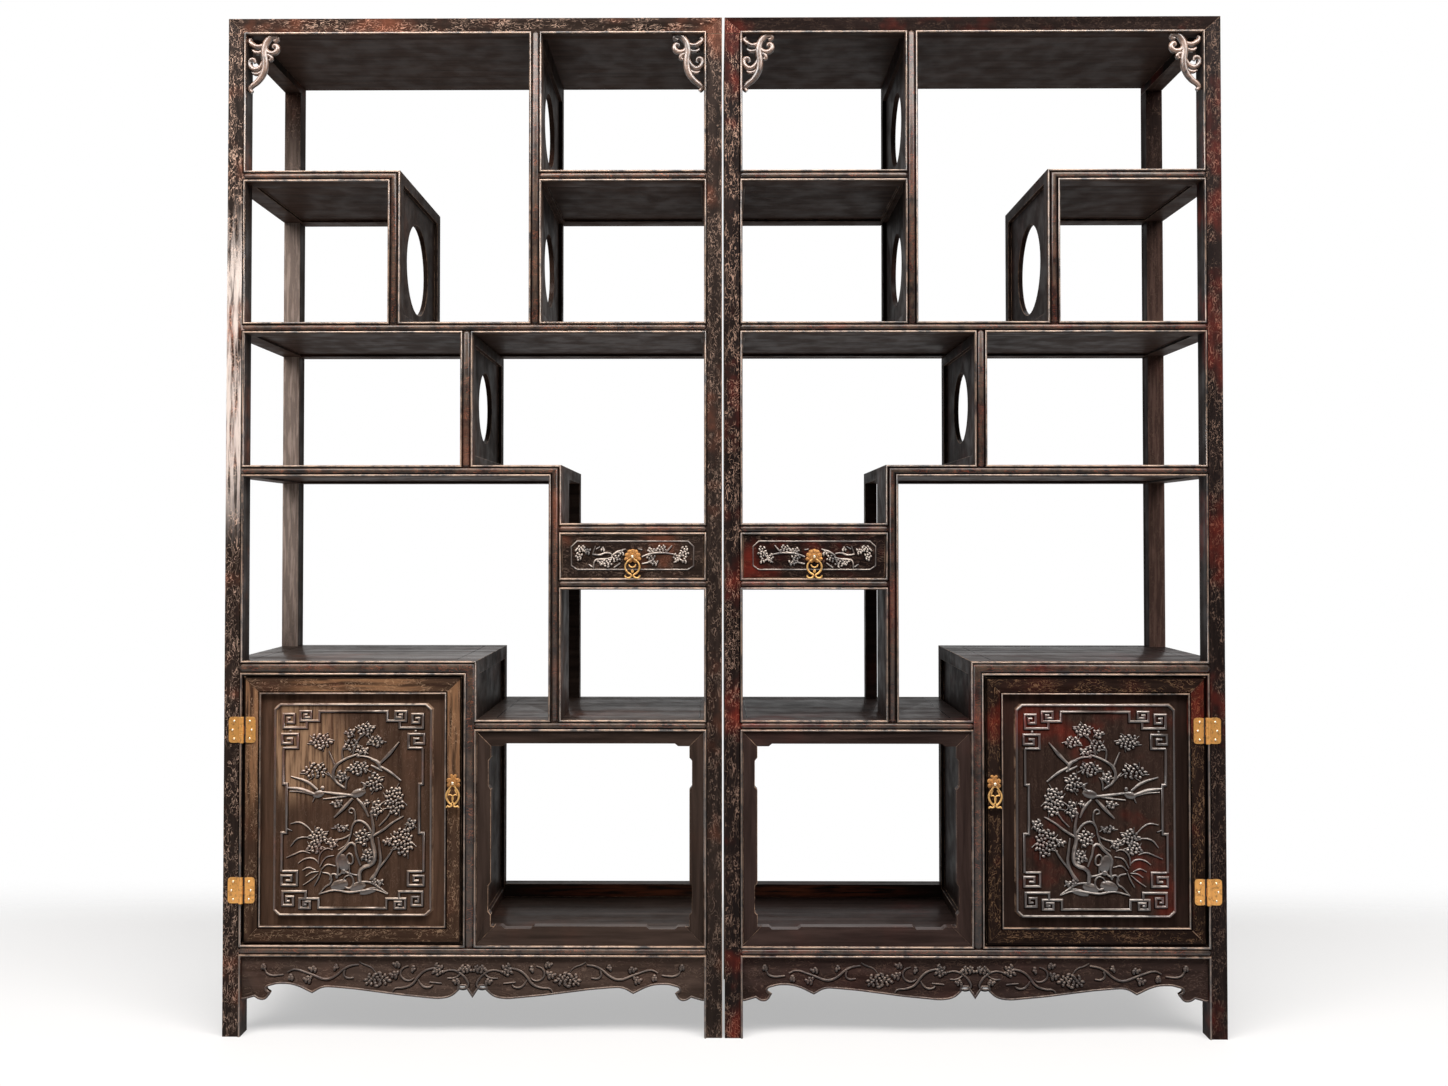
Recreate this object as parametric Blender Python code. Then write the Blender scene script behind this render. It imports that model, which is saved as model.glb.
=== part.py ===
"""A mirrored pair of carved hardwood display cabinets with stepped open shelves.

Each cabinet stands on four posts. Shelves, dividers and panels are tenoned into the posts
and into each other. A cupboard door swings on brass surface hinges, a drawer slides in its
case, and a brass pendant hangs on each.
"""

import math
from collections import namedtuple

import bmesh
import bpy
from mathutils import Matrix, Vector

# Overall size of one cabinet and the gap between the two
CABINET_W = 0.966
CABINET_D = 0.360
PAIR_GAP = 0.005

# Sections of the wood members
POST_W = 0.035
POST_D = 0.035
RAIL_H = 0.0225
RAIL_D = 0.028
TOP_RAIL_H = 0.031
TOP_BOARD_T = 0.014
CUPBOARD_RAIL_H = 0.028
STILE_W = 0.025
STEP_STILE_D = 0.130
SIDE_RAIL_H = 0.020
PANEL_T = 0.010
UNDERCUT = 0.005
UNDERCUT_MARGIN = 0.006

# Clear heights, from the floor up the inner column
FOOT_H = 0.154
CUBBY_H = 0.412
LOWER_BAY_H = 0.252
DRAWER_OPENING_H = 0.084
INNER_BAY_H = 0.370
UPPER_BAY_H = 0.2745
TOP_SECTION_H = 0.5645

# Clear heights of the outer column
DOOR_OPENING_H = 0.5205
STEP_BAY_H = 0.3575
BOX_H = 0.2745

# Clear widths, measured inwards from the outer posts
BOX_W = 0.278
MIDDLE_BAY_W = 0.421
DOOR_OPENING_W = 0.430
TOP_BAY_W = 0.554
STEP_BAY_W = 0.594

# Round holes in the pierced side panels
BOX_HOLE_D = 0.186
MIDDLE_HOLE_D = 0.146
UPPER_HOLE_D = 0.150
HOLE_SEGMENTS = 40

# Joinery
FIT = 0.0003
OVERLAP = 0.004
TENON_L = 0.014
TENON_T = 0.010
TENON_SHOULDER = 0.005
STILE_TENON_L = 0.009
TONGUE = 0.006

# Cupboard door
DOOR_GAP = 0.0015
DOOR_T = 0.024
DOOR_FRAME_W = 0.035
DOOR_TONGUE_T = 0.006
DOOR_TONGUE_V = 0.009
FIELD_V = 0.004
FIELD_MARGIN_U = 0.024
FIELD_MARGIN_Z = 0.019
FIELD_CHAMFER = 0.010

# Drawer
DRAWER_GAP = 0.001
DRAWER_SETBACK = 0.001
DRAWER_FRONT_T = 0.018
DRAWER_WALL_T = 0.009
DRAWER_BACK_GAP = 0.004
CASE_PANEL_T = 0.008

# Frame set into the low open bay
BAY_FRAME_W = 0.028
BAY_FRAME_FOOT_H = 0.036
BAY_FRAME_T = 0.018
BAY_FRAME_SETBACK = 0.002
NOTCH_DEPTH = 0.005
NOTCH_L = 0.062
NOTCH_SLOPE = 0.006
CORNER_BLOCK = 0.022
BACK_STOP_H = 0.028

# Apron under the front rail
APRON_T = 0.016
APRON_SETBACK = 0.006
APRON_HOUSING = 0.008
APRON_GRID = 0.001
APRON_POINT_DROP = 0.079
APRON_CURVE_STEPS = 4

# Brass surface hinges
HINGE_H = 0.050
HINGE_LEAF_W = 0.026
HINGE_LEAF_T = 0.0016
HINGE_CORNER = 0.006
HINGE_END = 0.104
KNUCKLE_R = 0.004
KNUCKLE_CLEAR = 0.0005
KNUCKLE_STANDOFF = 0.0006
HINGE_PIN_R = 0.0016
BORE_CLEAR = 0.0004
BARREL_SEGMENTS = 16

# Brass pulls
PULL_PLATE_T = 0.0016
PULL_REACH = 0.0085
PULL_PIN_R = 0.0012
PULL_BARREL_R = 0.0027
PULL_BARREL_L = 0.007
PULL_LUG_T = 0.0022
PULL_LUG_CLEAR = 0.0005
PULL_NECK = 0.008
PENDANT_T = 0.003
DOOR_PULL_W = 0.026
DOOR_PULL_ABOVE = 0.012
DOOR_PULL_BELOW = 0.030
DOOR_PENDANT_W = 0.022
DOOR_PENDANT_DROP = 0.050
DOOR_PULL_Z = 0.312
DRAWER_PULL_W = 0.037
DRAWER_PULL_ABOVE = 0.014
DRAWER_PULL_BELOW = 0.012
DRAWER_PENDANT_W = 0.030
DRAWER_PENDANT_DROP = 0.042

# Levels: the underside and the top of each shelf
FLOOR_Z = (FOOT_H, FOOT_H + RAIL_H)
G_Z = (FLOOR_Z[1] + CUBBY_H, FLOOR_Z[1] + CUBBY_H + RAIL_H)
F_Z = (G_Z[1] + LOWER_BAY_H, G_Z[1] + LOWER_BAY_H + RAIL_H)
E_Z = (F_Z[1] + DRAWER_OPENING_H, F_Z[1] + DRAWER_OPENING_H + RAIL_H)
C_Z = (E_Z[1] + INNER_BAY_H, E_Z[1] + INNER_BAY_H + RAIL_H)
A_Z = (C_Z[1] + BOX_H, C_Z[1] + BOX_H + RAIL_H)
B_Z = (C_Z[1] + UPPER_BAY_H, C_Z[1] + UPPER_BAY_H + RAIL_H)
TOP_Z = (C_Z[1] + TOP_SECTION_H, C_Z[1] + TOP_SECTION_H + TOP_RAIL_H)
TOP_UNDERSIDE_Z = TOP_Z[1] - TOP_BOARD_T
H_Z = (FLOOR_Z[1] + DOOR_OPENING_H, FLOOR_Z[1] + DOOR_OPENING_H + CUPBOARD_RAIL_H)
D_Z = (H_Z[1] + STEP_BAY_H, H_Z[1] + STEP_BAY_H + RAIL_H)

# Faces of the upright members, from the outer side inwards
BOX_U = (POST_W + BOX_W, POST_W + BOX_W + STILE_W)
MIDDLE_U = (POST_W + MIDDLE_BAY_W, POST_W + MIDDLE_BAY_W + STILE_W)
PARTITION_U = (POST_W + DOOR_OPENING_W, POST_W + DOOR_OPENING_W + STILE_W)
UPPER_U = (POST_W + TOP_BAY_W, POST_W + TOP_BAY_W + STILE_W)
STEP_U = (POST_W + STEP_BAY_W, POST_W + STEP_BAY_W + STILE_W)
INNER_U = CABINET_W - POST_W
UNDERCUT_V = (POST_D + UNDERCUT_MARGIN, CABINET_D - POST_D - UNDERCUT_MARGIN)

# The brass stands proud of the wood, and the whole depth is centred on the origin
PROUD = max(PULL_REACH + PULL_BARREL_R, 2 * KNUCKLE_R + KNUCKLE_STANDOFF)
FRONT_Y = (PROUD - CABINET_D) / 2
HINGE_U = POST_W + DOOR_GAP / 2
HINGE_V = -KNUCKLE_R - KNUCKLE_STANDOFF

Box = namedtuple("Box", "u0 u1 v0 v1 z0 z1 corner steps", defaults=(0.0, 1))
Rod = namedtuple("Rod", "axis u v z radius length segments")


def collection(name):
    """A collection of this name, linked to the scene."""
    group = bpy.data.collections.new(name)
    bpy.context.scene.collection.children.link(group)
    return group


def finish(name, colour, roughness, metallic=0.0):
    """A plain Principled material."""
    material = bpy.data.materials.new(name)
    material.use_nodes = True
    shader = material.node_tree.nodes["Principled BSDF"]
    shader.inputs["Base Color"].default_value = (*colour, 1.0)
    shader.inputs["Roughness"].default_value = roughness
    shader.inputs["Metallic"].default_value = metallic
    return material


def grown(shape):
    """The box made larger by the fit, for the recess that it seats in."""
    return Box(shape.u0 - FIT, shape.u1 + FIT, shape.v0 - FIT, shape.v1 + FIT,
               shape.z0 - FIT, shape.z1 + FIT)


class Cabinet:
    """One cabinet: u runs from its outer side inwards, v from its front face backwards."""

    def __init__(self, name, hand):
        self.name = name
        self.hand = hand
        self.solids = {}
        self.cuts = {}

    def point(self, u, v, z):
        """A place in this cabinet as a point of the shared frame."""
        return Vector((self.hand * (PAIR_GAP / 2 + CABINET_W - u), FRONT_Y + v, z))

    def solid(self, piece, *shapes):
        self.solids.setdefault(piece, []).extend(shapes)

    def cut(self, piece, *shapes):
        self.cuts.setdefault(piece, []).extend(shapes)

    def tenon(self, piece, into, shape):
        """A tenon on one piece, and its mortise in another."""
        self.solid(piece, shape)
        self.cut(into, grown(shape))


def shape_object(cabinet, name, shape, origin, group):
    """A box or a rod as a mesh object, modelled about the origin of the piece it belongs to."""
    bm = bmesh.new()
    if isinstance(shape, Box):
        ends = (cabinet.point(shape.u0, shape.v0, shape.z0) - origin,
                cabinet.point(shape.u1, shape.v1, shape.z1) - origin)
        low = [min(pair) for pair in zip(*ends)]
        high = [max(pair) for pair in zip(*ends)]
        bmesh.ops.create_cube(bm, size=1.0)
        for corner in bm.verts:
            corner.co = [far if side > 0 else near for side, near, far in zip(corner.co, low, high)]
        if shape.corner:
            along = [edge for edge in bm.edges
                     if abs(edge.verts[0].co.y - edge.verts[1].co.y) > (high[1] - low[1]) / 2]
            bmesh.ops.bevel(bm, geom=along, offset=shape.corner, affect="EDGES",
                            segments=shape.steps, profile=0.5, material=-1)
    else:
        turn = {"u": Matrix.Rotation(math.pi / 2, 4, "Y"),
                "v": Matrix.Rotation(math.pi / 2, 4, "X"),
                "z": Matrix.Identity(4)}[shape.axis]
        place = Matrix.Translation(cabinet.point(shape.u, shape.v, shape.z) - origin)
        bmesh.ops.create_cone(bm, cap_ends=True, segments=shape.segments, radius1=shape.radius,
                              radius2=shape.radius, depth=shape.length, matrix=place @ turn)
    mesh = bpy.data.meshes.new(name)
    bm.to_mesh(mesh)
    bm.free()
    made = bpy.data.objects.new(name, mesh)
    made.location = origin
    group.objects.link(made)
    return made


def hold(child, parent):
    """Parents a piece to an empty and leaves it where it is."""
    child.parent = parent
    child.matrix_parent_inverse = Matrix.Translation(parent.location).inverted()


def build_piece(cabinet, piece, material, parent=None):
    """Joins the piece's solids, takes its cuts out and gives it its finish."""
    name = f"{cabinet.name}_{piece}"
    solids = cabinet.solids[piece]
    origin = parent.location if parent else cabinet.point(CABINET_W / 2, CABINET_D / 2, 0.0)
    made = shape_object(cabinet, name, solids[0], origin, PARTS)
    steps = [("UNION", shape) for shape in solids[1:]]
    steps += [("DIFFERENCE", shape) for shape in cabinet.cuts.get(piece, [])]
    for number, (operation, shape) in enumerate(steps):
        tool = shape_object(cabinet, f"{name}_tool_{number}", shape, origin, CUTTERS)
        tool.hide_render = True
        tool.display_type = "WIRE"
        change = made.modifiers.new(f"{operation.lower()}_{number}", "BOOLEAN")
        change.operation = operation
        change.solver = "EXACT"
        change.object = tool
    made.data.materials.append(material)
    if parent:
        hold(made, parent)
    return made


def build_outline(cabinet, piece, splines, v0, thickness, material):
    """A flat outline in the front plane, extruded backwards from v0."""
    name = f"{cabinet.name}_{piece}"
    curve = bpy.data.curves.new(name, "CURVE")
    curve.dimensions = "2D"
    curve.fill_mode = "BOTH"
    curve.extrude = thickness / 2
    curve.resolution_u = APRON_CURVE_STEPS
    centre = cabinet.point(CABINET_W / 2, v0 + thickness / 2, 0.0)
    for points in splines:
        spline = curve.splines.new("BEZIER")
        spline.bezier_points.add(len(points) - 1)
        spline.use_cyclic_u = True
        for knot, (u, z, handle) in zip(spline.bezier_points, points):
            place = cabinet.point(u, v0, z) - centre
            knot.co = (place.x, place.z, 0.0)
            knot.handle_left_type = handle
            knot.handle_right_type = handle
    made = bpy.data.objects.new(name, curve)
    made.location = centre
    made.rotation_euler = (math.pi / 2, 0.0, 0.0)
    curve.materials.append(material)
    PARTS.objects.link(made)
    return made


def axis_empty(cabinet, name, u, v, z, parent=None):
    """An empty on a joint's axis, which carries the pieces that move on it."""
    empty = bpy.data.objects.new(f"{cabinet.name}_{name}", None)
    empty.location = cabinet.point(u, v, z)
    PARTS.objects.link(empty)
    if parent:
        hold(empty, parent)
    return empty


# Shelves

def end_tenons(cabinet, piece, into_front, into_back, face_u, inward, level):
    """Tenons on the front and back rails of a shelf, into the uprights at one end of it."""
    z0, z1 = level[0] + TENON_SHOULDER, level[1] - TENON_SHOULDER
    length = TENON_L if "post" in into_front else STILE_TENON_L
    u0, u1 = sorted((face_u - inward * length, face_u + inward * OVERLAP))
    for into, middle in ((into_front, RAIL_D / 2), (into_back, CABINET_D - RAIL_D / 2)):
        cabinet.tenon(piece, into, Box(u0, u1, middle - TENON_T / 2, middle + TENON_T / 2, z0, z1))


def side_rail(cabinet, piece, post, u0, u1, level):
    """The rail between the front and back posts of one side, tenoned into both."""
    reach = OVERLAP if post == "outer" else 0.0
    inner = 0.0 if post == "outer" else OVERLAP
    cabinet.solid(piece, Box(u0 - inner, u1 + reach, POST_D + FIT, CABINET_D - POST_D - FIT, *level))
    middle = (u0 + u1) / 2
    z0, z1 = level[0] + TENON_SHOULDER, level[1] - TENON_SHOULDER
    ends = ((f"post_front_{post}", POST_D - TENON_L, POST_D + OVERLAP),
            (f"post_back_{post}", CABINET_D - POST_D - OVERLAP, CABINET_D - POST_D + TENON_L))
    for into, v0, v1 in ends:
        cabinet.tenon(piece, into, Box(middle - TENON_T / 2, middle + TENON_T / 2, v0, v1, z0, z1))


def hollow_underside(cabinet, piece, level, u0, u1):
    """The shallow hollow that leaves a shelf's rails standing below its board."""
    cabinet.cut(piece, Box(u0 + UNDERCUT_MARGIN, u1 - UNDERCUT_MARGIN, *UNDERCUT_V,
                           level[0] - OVERLAP, level[0] + UNDERCUT))


def shelf(cabinet, piece, level, u0, u1, posts=(), end_stile=0.0):
    """A framed board, flush on top; its inner end may turn down into a stile."""
    stop = u1 if end_stile else u1 - FIT
    cabinet.solid(piece, Box(u0 + FIT, stop, 0.0, CABINET_D, *level))
    if "outer" in posts:
        side_rail(cabinet, piece, "outer", 0.0, POST_W + FIT, level)
        end_tenons(cabinet, piece, "post_front_outer", "post_back_outer", POST_W, 1, level)
    if "inner" in posts:
        side_rail(cabinet, piece, "inner", INNER_U - FIT, CABINET_W, level)
        end_tenons(cabinet, piece, "post_front_inner", "post_back_inner", INNER_U, -1, level)
    hollow_underside(cabinet, piece, level, u0, u1 - end_stile)


def side_frame(cabinet, piece, span_u, low, high, into_low, into_high=None, behind=None, rails=(),
               panelled=True, holes=(), front_d=RAIL_D):
    """Front and back stiles, tenoned below and, if asked, above, with rails and a panel between them.

    What lies above is at the height high at the front, and at the height behind, if given, further back.
    """
    u0, u1 = span_u
    middle_u = (u0 + u1) / 2
    bottom = low + FIT
    top = high - FIT if into_high else high + OVERLAP
    back = CABINET_D - RAIL_D
    for v0, v1, stile_top in ((0.0, front_d, top), (back, CABINET_D, behind - FIT if behind else top)):
        cabinet.solid(piece, Box(u0, u1, v0, v1, bottom, stile_top))
        middle_v = (v0 + v1) / 2
        peg = Box(middle_u - TENON_T / 2, middle_u + TENON_T / 2,
                  middle_v - TENON_T / 2, middle_v + TENON_T / 2,
                  low - STILE_TENON_L, bottom + OVERLAP)
        cabinet.tenon(piece, into_low, peg)
        if into_high:
            cabinet.tenon(piece, into_high, peg._replace(z0=stile_top - OVERLAP,
                                                         z1=stile_top + STILE_TENON_L))
    panel = Box(middle_u - PANEL_T / 2, middle_u + PANEL_T / 2,
                RAIL_D - OVERLAP, back + OVERLAP, bottom, top)
    if panelled:
        cabinet.solid(piece, panel)
        for z0, z1 in ((bottom, bottom + SIDE_RAIL_H), *rails):
            cabinet.solid(piece, Box(u0, u1, RAIL_D - OVERLAP, back + OVERLAP, z0, z1))
    if behind:
        cabinet.solid(piece, Box(u0, u1, RAIL_D + FIT, back + OVERLAP, top - OVERLAP, behind - FIT))
    elif into_high:
        cabinet.solid(piece, panel._replace(v0=UNDERCUT_V[0] + FIT, v1=UNDERCUT_V[1] - FIT,
                                            z0=top - OVERLAP, z1=high + UNDERCUT - FIT))
    for z, diameter in holes:
        cabinet.cut(piece, Rod("u", middle_u, CABINET_D / 2, z, diameter / 2, 3 * PANEL_T,
                               HOLE_SEGMENTS))


def middle_of(low, high):
    return (low + high) / 2


def shelves(cabinet):
    """All the shelves, with the side frames that carry the stepped ones."""
    shelf(cabinet, "box_step", A_Z, POST_W, BOX_U[1], ("outer",), STILE_W)
    side_frame(cabinet, "box_step", BOX_U, C_Z[1], A_Z[0], "shelf_main",
               holes=((middle_of(C_Z[1], A_Z[0]), BOX_HOLE_D),))

    shelf(cabinet, "shelf_upper", B_Z, UPPER_U[1], INNER_U, ("inner",))
    end_tenons(cabinet, "shelf_upper", "upper_divider", "upper_divider", UPPER_U[1], 1, B_Z)
    side_frame(cabinet, "upper_divider", UPPER_U, C_Z[1], TOP_Z[0], "shelf_main", "top_frame",
               behind=TOP_UNDERSIDE_Z, rails=(B_Z, (TOP_Z[0] - SIDE_RAIL_H, TOP_Z[0] - FIT)),
               holes=((middle_of(C_Z[1], B_Z[0]), UPPER_HOLE_D),
                      (middle_of(B_Z[1], TOP_Z[0]), UPPER_HOLE_D)))

    shelf(cabinet, "shelf_main", C_Z, POST_W, INNER_U, ("outer", "inner"))
    side_frame(cabinet, "middle_divider", MIDDLE_U, D_Z[1], C_Z[0], "drawer_step", "shelf_main",
               rails=((C_Z[0] - SIDE_RAIL_H, C_Z[0] - FIT),),
               holes=((middle_of(D_Z[1], C_Z[0]), MIDDLE_HOLE_D),))

    shelf(cabinet, "drawer_step", D_Z, POST_W, STEP_U[1], ("outer",), STILE_W)
    side_frame(cabinet, "drawer_step", STEP_U, G_Z[1], D_Z[0], "shelf_lower", panelled=False,
               front_d=STEP_STILE_D)

    shelf(cabinet, "shelf_lower", G_Z, PARTITION_U[1], INNER_U, ("inner",))
    end_tenons(cabinet, "shelf_lower", "cupboard_step", "cupboard_step", PARTITION_U[1], 1, G_Z)

    shelf(cabinet, "cupboard_step", H_Z, POST_W, PARTITION_U[1], ("outer",), STILE_W)
    side_frame(cabinet, "cupboard_step", PARTITION_U, FLOOR_Z[1], H_Z[0], "floor_frame")

    shelf(cabinet, "floor_frame", FLOOR_Z, POST_W, INNER_U, ("outer", "inner"))
    cabinet.solid("floor_frame", Box(PARTITION_U[1] + FIT, INNER_U - FIT, CABINET_D - RAIL_D, CABINET_D,
                                     FLOOR_Z[1] - OVERLAP, FLOOR_Z[1] + BACK_STOP_H))

    cabinet.solid("top_frame", Box(0.0, CABINET_W, 0.0, CABINET_D, *TOP_Z))
    cabinet.cut("top_frame", Box(POST_W, INNER_U, RAIL_D, CABINET_D + OVERLAP,
                                 TOP_Z[0] - OVERLAP, TOP_UNDERSIDE_Z))


def drawer_case(cabinet):
    """Top and bottom boards of the drawer case, with its cheeks and back."""
    piece = "drawer_case"
    inner_v = (STEP_STILE_D + FIT, CABINET_D - RAIL_D - FIT)
    for level in (E_Z, F_Z):
        cabinet.solid(piece, Box(STEP_U[1] + FIT, INNER_U - FIT, 0.0, CABINET_D, *level))
        side_rail(cabinet, piece, "inner", INNER_U - FIT, CABINET_W, level)
        end_tenons(cabinet, piece, "post_front_inner", "post_back_inner", INNER_U, -1, level)
        end_tenons(cabinet, piece, "drawer_step", "drawer_step", STEP_U[1], 1, level)
        cabinet.solid(piece, Box(STEP_U[0], STEP_U[1] + OVERLAP, *inner_v, *level))
    heights = (F_Z[1] - OVERLAP, E_Z[0] + OVERLAP)
    middle_u = middle_of(*STEP_U)
    cabinet.solid(piece, Box(middle_u - CASE_PANEL_T / 2, middle_u + CASE_PANEL_T / 2, *inner_v, *heights))
    middle_u = middle_of(INNER_U, CABINET_W)
    cabinet.solid(piece, Box(middle_u - CASE_PANEL_T / 2, middle_u + CASE_PANEL_T / 2,
                             POST_D + FIT, CABINET_D - POST_D - FIT, *heights))
    cabinet.solid(piece, Box(STEP_U[1] + FIT, INNER_U - FIT, CABINET_D - CASE_PANEL_T, CABINET_D, *heights))


# Posts and cupboard panels

def posts(cabinet):
    """Four posts, each with a tenon into the top frame."""
    for post, u0 in (("outer", 0.0), ("inner", INNER_U)):
        for place, v0 in (("front", 0.0), ("back", CABINET_D - POST_D)):
            piece = f"post_{place}_{post}"
            top = TOP_Z[0] - FIT
            cabinet.solid(piece, Box(u0, u0 + POST_W, v0, v0 + POST_D, 0.0, top))
            middle_u, middle_v = u0 + POST_W / 2, v0 + POST_D / 2
            cabinet.tenon(piece, "top_frame",
                          Box(middle_u - TENON_T / 2, middle_u + TENON_T / 2,
                              middle_v - TENON_T / 2, middle_v + TENON_T / 2,
                              top - OVERLAP, TOP_Z[0] + TENON_L))


def cupboard_panels(cabinet):
    """Back and outer side of the cupboard, tongued into the posts and the partition."""
    z0, z1 = FLOOR_Z[1] + FIT, H_Z[0] - FIT
    v0 = CABINET_D - RAIL_D / 2 - PANEL_T / 2
    back = Box(POST_W + FIT, PARTITION_U[0] - FIT, v0, v0 + PANEL_T, z0, z1)
    cabinet.solid("cupboard_back", back)
    cabinet.tenon("cupboard_back", "post_back_outer",
                  back._replace(u0=POST_W - TONGUE, u1=POST_W + OVERLAP))
    cabinet.tenon("cupboard_back", "cupboard_step",
                  back._replace(u0=PARTITION_U[0] - OVERLAP, u1=PARTITION_U[0] + TONGUE))
    u0 = POST_W / 2 - PANEL_T / 2
    side = Box(u0, u0 + PANEL_T, POST_D + FIT, CABINET_D - POST_D - FIT, z0, z1)
    cabinet.solid("cupboard_side", side)
    cabinet.tenon("cupboard_side", "post_front_outer",
                  side._replace(v0=POST_D - TONGUE, v1=POST_D + OVERLAP))
    cabinet.tenon("cupboard_side", "post_back_outer",
                  side._replace(v0=CABINET_D - POST_D - OVERLAP, v1=CABINET_D - POST_D + TONGUE))


# Apron and bay frame

def apron_outline():
    """Lower edge of the apron, in grid steps from the post or the middle, and down from the rail."""
    middle = CABINET_W / 2
    from_post = [(4, 85, "VECTOR"), (25, 79, "VECTOR"), (36, 85, "AUTO"), (46, 84, "AUTO"),
                 (54, 73, "VECTOR"), (46, 65, "AUTO"), (60, 57, "AUTO"), (79, 54.5, "AUTO"),
                 (104, 57.5, "AUTO"), (137, 72, "VECTOR"), (157, 62, "AUTO"), (182, 61.5, "AUTO")]
    to_middle = [(90, 81, "AUTO"), (58, 82, "AUTO"), (40, 77, "AUTO"), (28, 67, "VECTOR"),
                 (27, 60, "AUTO"), (14, 58, "VECTOR")]
    half = [(POST_W + along * APRON_GRID, FOOT_H - drop * APRON_GRID, handle)
            for along, drop, handle in from_post]
    half += [(middle - along * APRON_GRID, FOOT_H - drop * APRON_GRID, handle)
             for along, drop, handle in to_middle]
    point = [(middle, FOOT_H - APRON_POINT_DROP, "VECTOR")]
    other = [(CABINET_W - u, z, handle) for u, z, handle in reversed(half)]
    return half + point + other


def apron(cabinet):
    """The apron, with its ends housed in the front posts."""
    edge = apron_outline()
    top = FOOT_H - FIT
    end_z = edge[0][1]
    start, stop = POST_W - APRON_HOUSING, INNER_U + APRON_HOUSING
    outline = [(start, top, "VECTOR"), (start, end_z, "VECTOR"), *edge,
               (stop, end_z, "VECTOR"), (stop, top, "VECTOR")]
    build_outline(cabinet, "apron", [outline], APRON_SETBACK, APRON_T, WOOD)
    housing = Box(start, POST_W + OVERLAP, APRON_SETBACK, APRON_SETBACK + APRON_T, end_z, top)
    cabinet.cut("post_front_outer", grown(housing))
    cabinet.cut("post_front_inner", grown(housing._replace(u0=INNER_U - OVERLAP, u1=stop)))


def notched_side(start, stop, tongued=True):
    """Steps along one inner edge: distance along it, and how far it is cut back.

    The edge is cut back between its corners, on a tongued side only on both sides of a tongue.
    """
    first = start + CORNER_BLOCK
    last = stop - CORNER_BLOCK
    tongue = [(first + NOTCH_L - NOTCH_SLOPE, NOTCH_DEPTH), (first + NOTCH_L, 0.0),
              (last - NOTCH_L, 0.0), (last - NOTCH_L + NOTCH_SLOPE, NOTCH_DEPTH)] if tongued else []
    return [(start, 0.0), (first, 0.0), (first + NOTCH_SLOPE, NOTCH_DEPTH), *tongue,
            (last - NOTCH_SLOPE, NOTCH_DEPTH), (last, 0.0), (stop, 0.0)]


def bay_frame(cabinet):
    """The mitred frame with notched inner edges that lines the low open bay."""
    u0, u1 = PARTITION_U[1] + FIT, INNER_U - FIT
    z0, z1 = FLOOR_Z[1] + FIT, G_Z[0] - FIT
    outer = [(u0, z0), (u1, z0), (u1, z1), (u0, z1)]
    a0, a1 = u0 + BAY_FRAME_W, u1 - BAY_FRAME_W
    b0, b1 = z0 + BAY_FRAME_FOOT_H, z1 - BAY_FRAME_W
    inner = [(along, b0 - cut) for along, cut in notched_side(a0, a1)]
    inner += [(a1 + cut, along) for along, cut in notched_side(b0, b1)]
    inner += [(along, b1 + cut) for along, cut in reversed(notched_side(a0, a1, tongued=False))]
    inner += [(a0 - cut, along) for along, cut in reversed(notched_side(b0, b1))]
    unique = [knot for number, knot in enumerate(inner) if knot != inner[number - 1]]
    splines = [[(u, z, "VECTOR") for u, z in ring] for ring in (outer, unique)]
    build_outline(cabinet, "bay_frame", splines, BAY_FRAME_SETBACK, BAY_FRAME_T, WOOD)


# Door

def door(cabinet):
    """The mitred door frame and its floating panel with a raised field."""
    u0, u1 = POST_W + DOOR_GAP, PARTITION_U[0] - DOOR_GAP
    z0, z1 = FLOOR_Z[1] + DOOR_GAP, H_Z[0] - DOOR_GAP
    a0, a1 = u0 + DOOR_FRAME_W, u1 - DOOR_FRAME_W
    b0, b1 = z0 + DOOR_FRAME_W, z1 - DOOR_FRAME_W
    cabinet.solid("door_frame", Box(u0, u1, 0.0, DOOR_T, z0, z1))
    cabinet.cut("door_frame", Box(a0, a1, -OVERLAP, DOOR_T + OVERLAP, b0, b1))
    tongue = Box(a0 - TONGUE, a1 + TONGUE, DOOR_TONGUE_V, DOOR_TONGUE_V + DOOR_TONGUE_T,
                 b0 - TONGUE, b1 + TONGUE)
    cabinet.tenon("door_panel", "door_frame", tongue)
    cabinet.solid("door_panel", Box(a0 + FIELD_MARGIN_U, a1 - FIELD_MARGIN_U, FIELD_V,
                                    DOOR_TONGUE_V + OVERLAP, b0 + FIELD_MARGIN_Z, b1 - FIELD_MARGIN_Z,
                                    FIELD_CHAMFER))
    axis = axis_empty(cabinet, "door_axis", HINGE_U, HINGE_V, middle_of(z0, z1))
    for piece, material in (("door_frame", WOOD), ("door_panel", CARVED)):
        build_piece(cabinet, piece, material, axis)
    for piece, z in (("hinge_upper", z1 - HINGE_END), ("hinge_lower", z0 + HINGE_END)):
        hinge(cabinet, piece, z, axis)
    pull(cabinet, "door_pull", middle_of(a1, u1), 0.0, z0 + DOOR_PULL_Z, axis,
         (DOOR_PULL_W, DOOR_PULL_ABOVE, DOOR_PULL_BELOW), (DOOR_PENDANT_W, DOOR_PENDANT_DROP))


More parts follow.
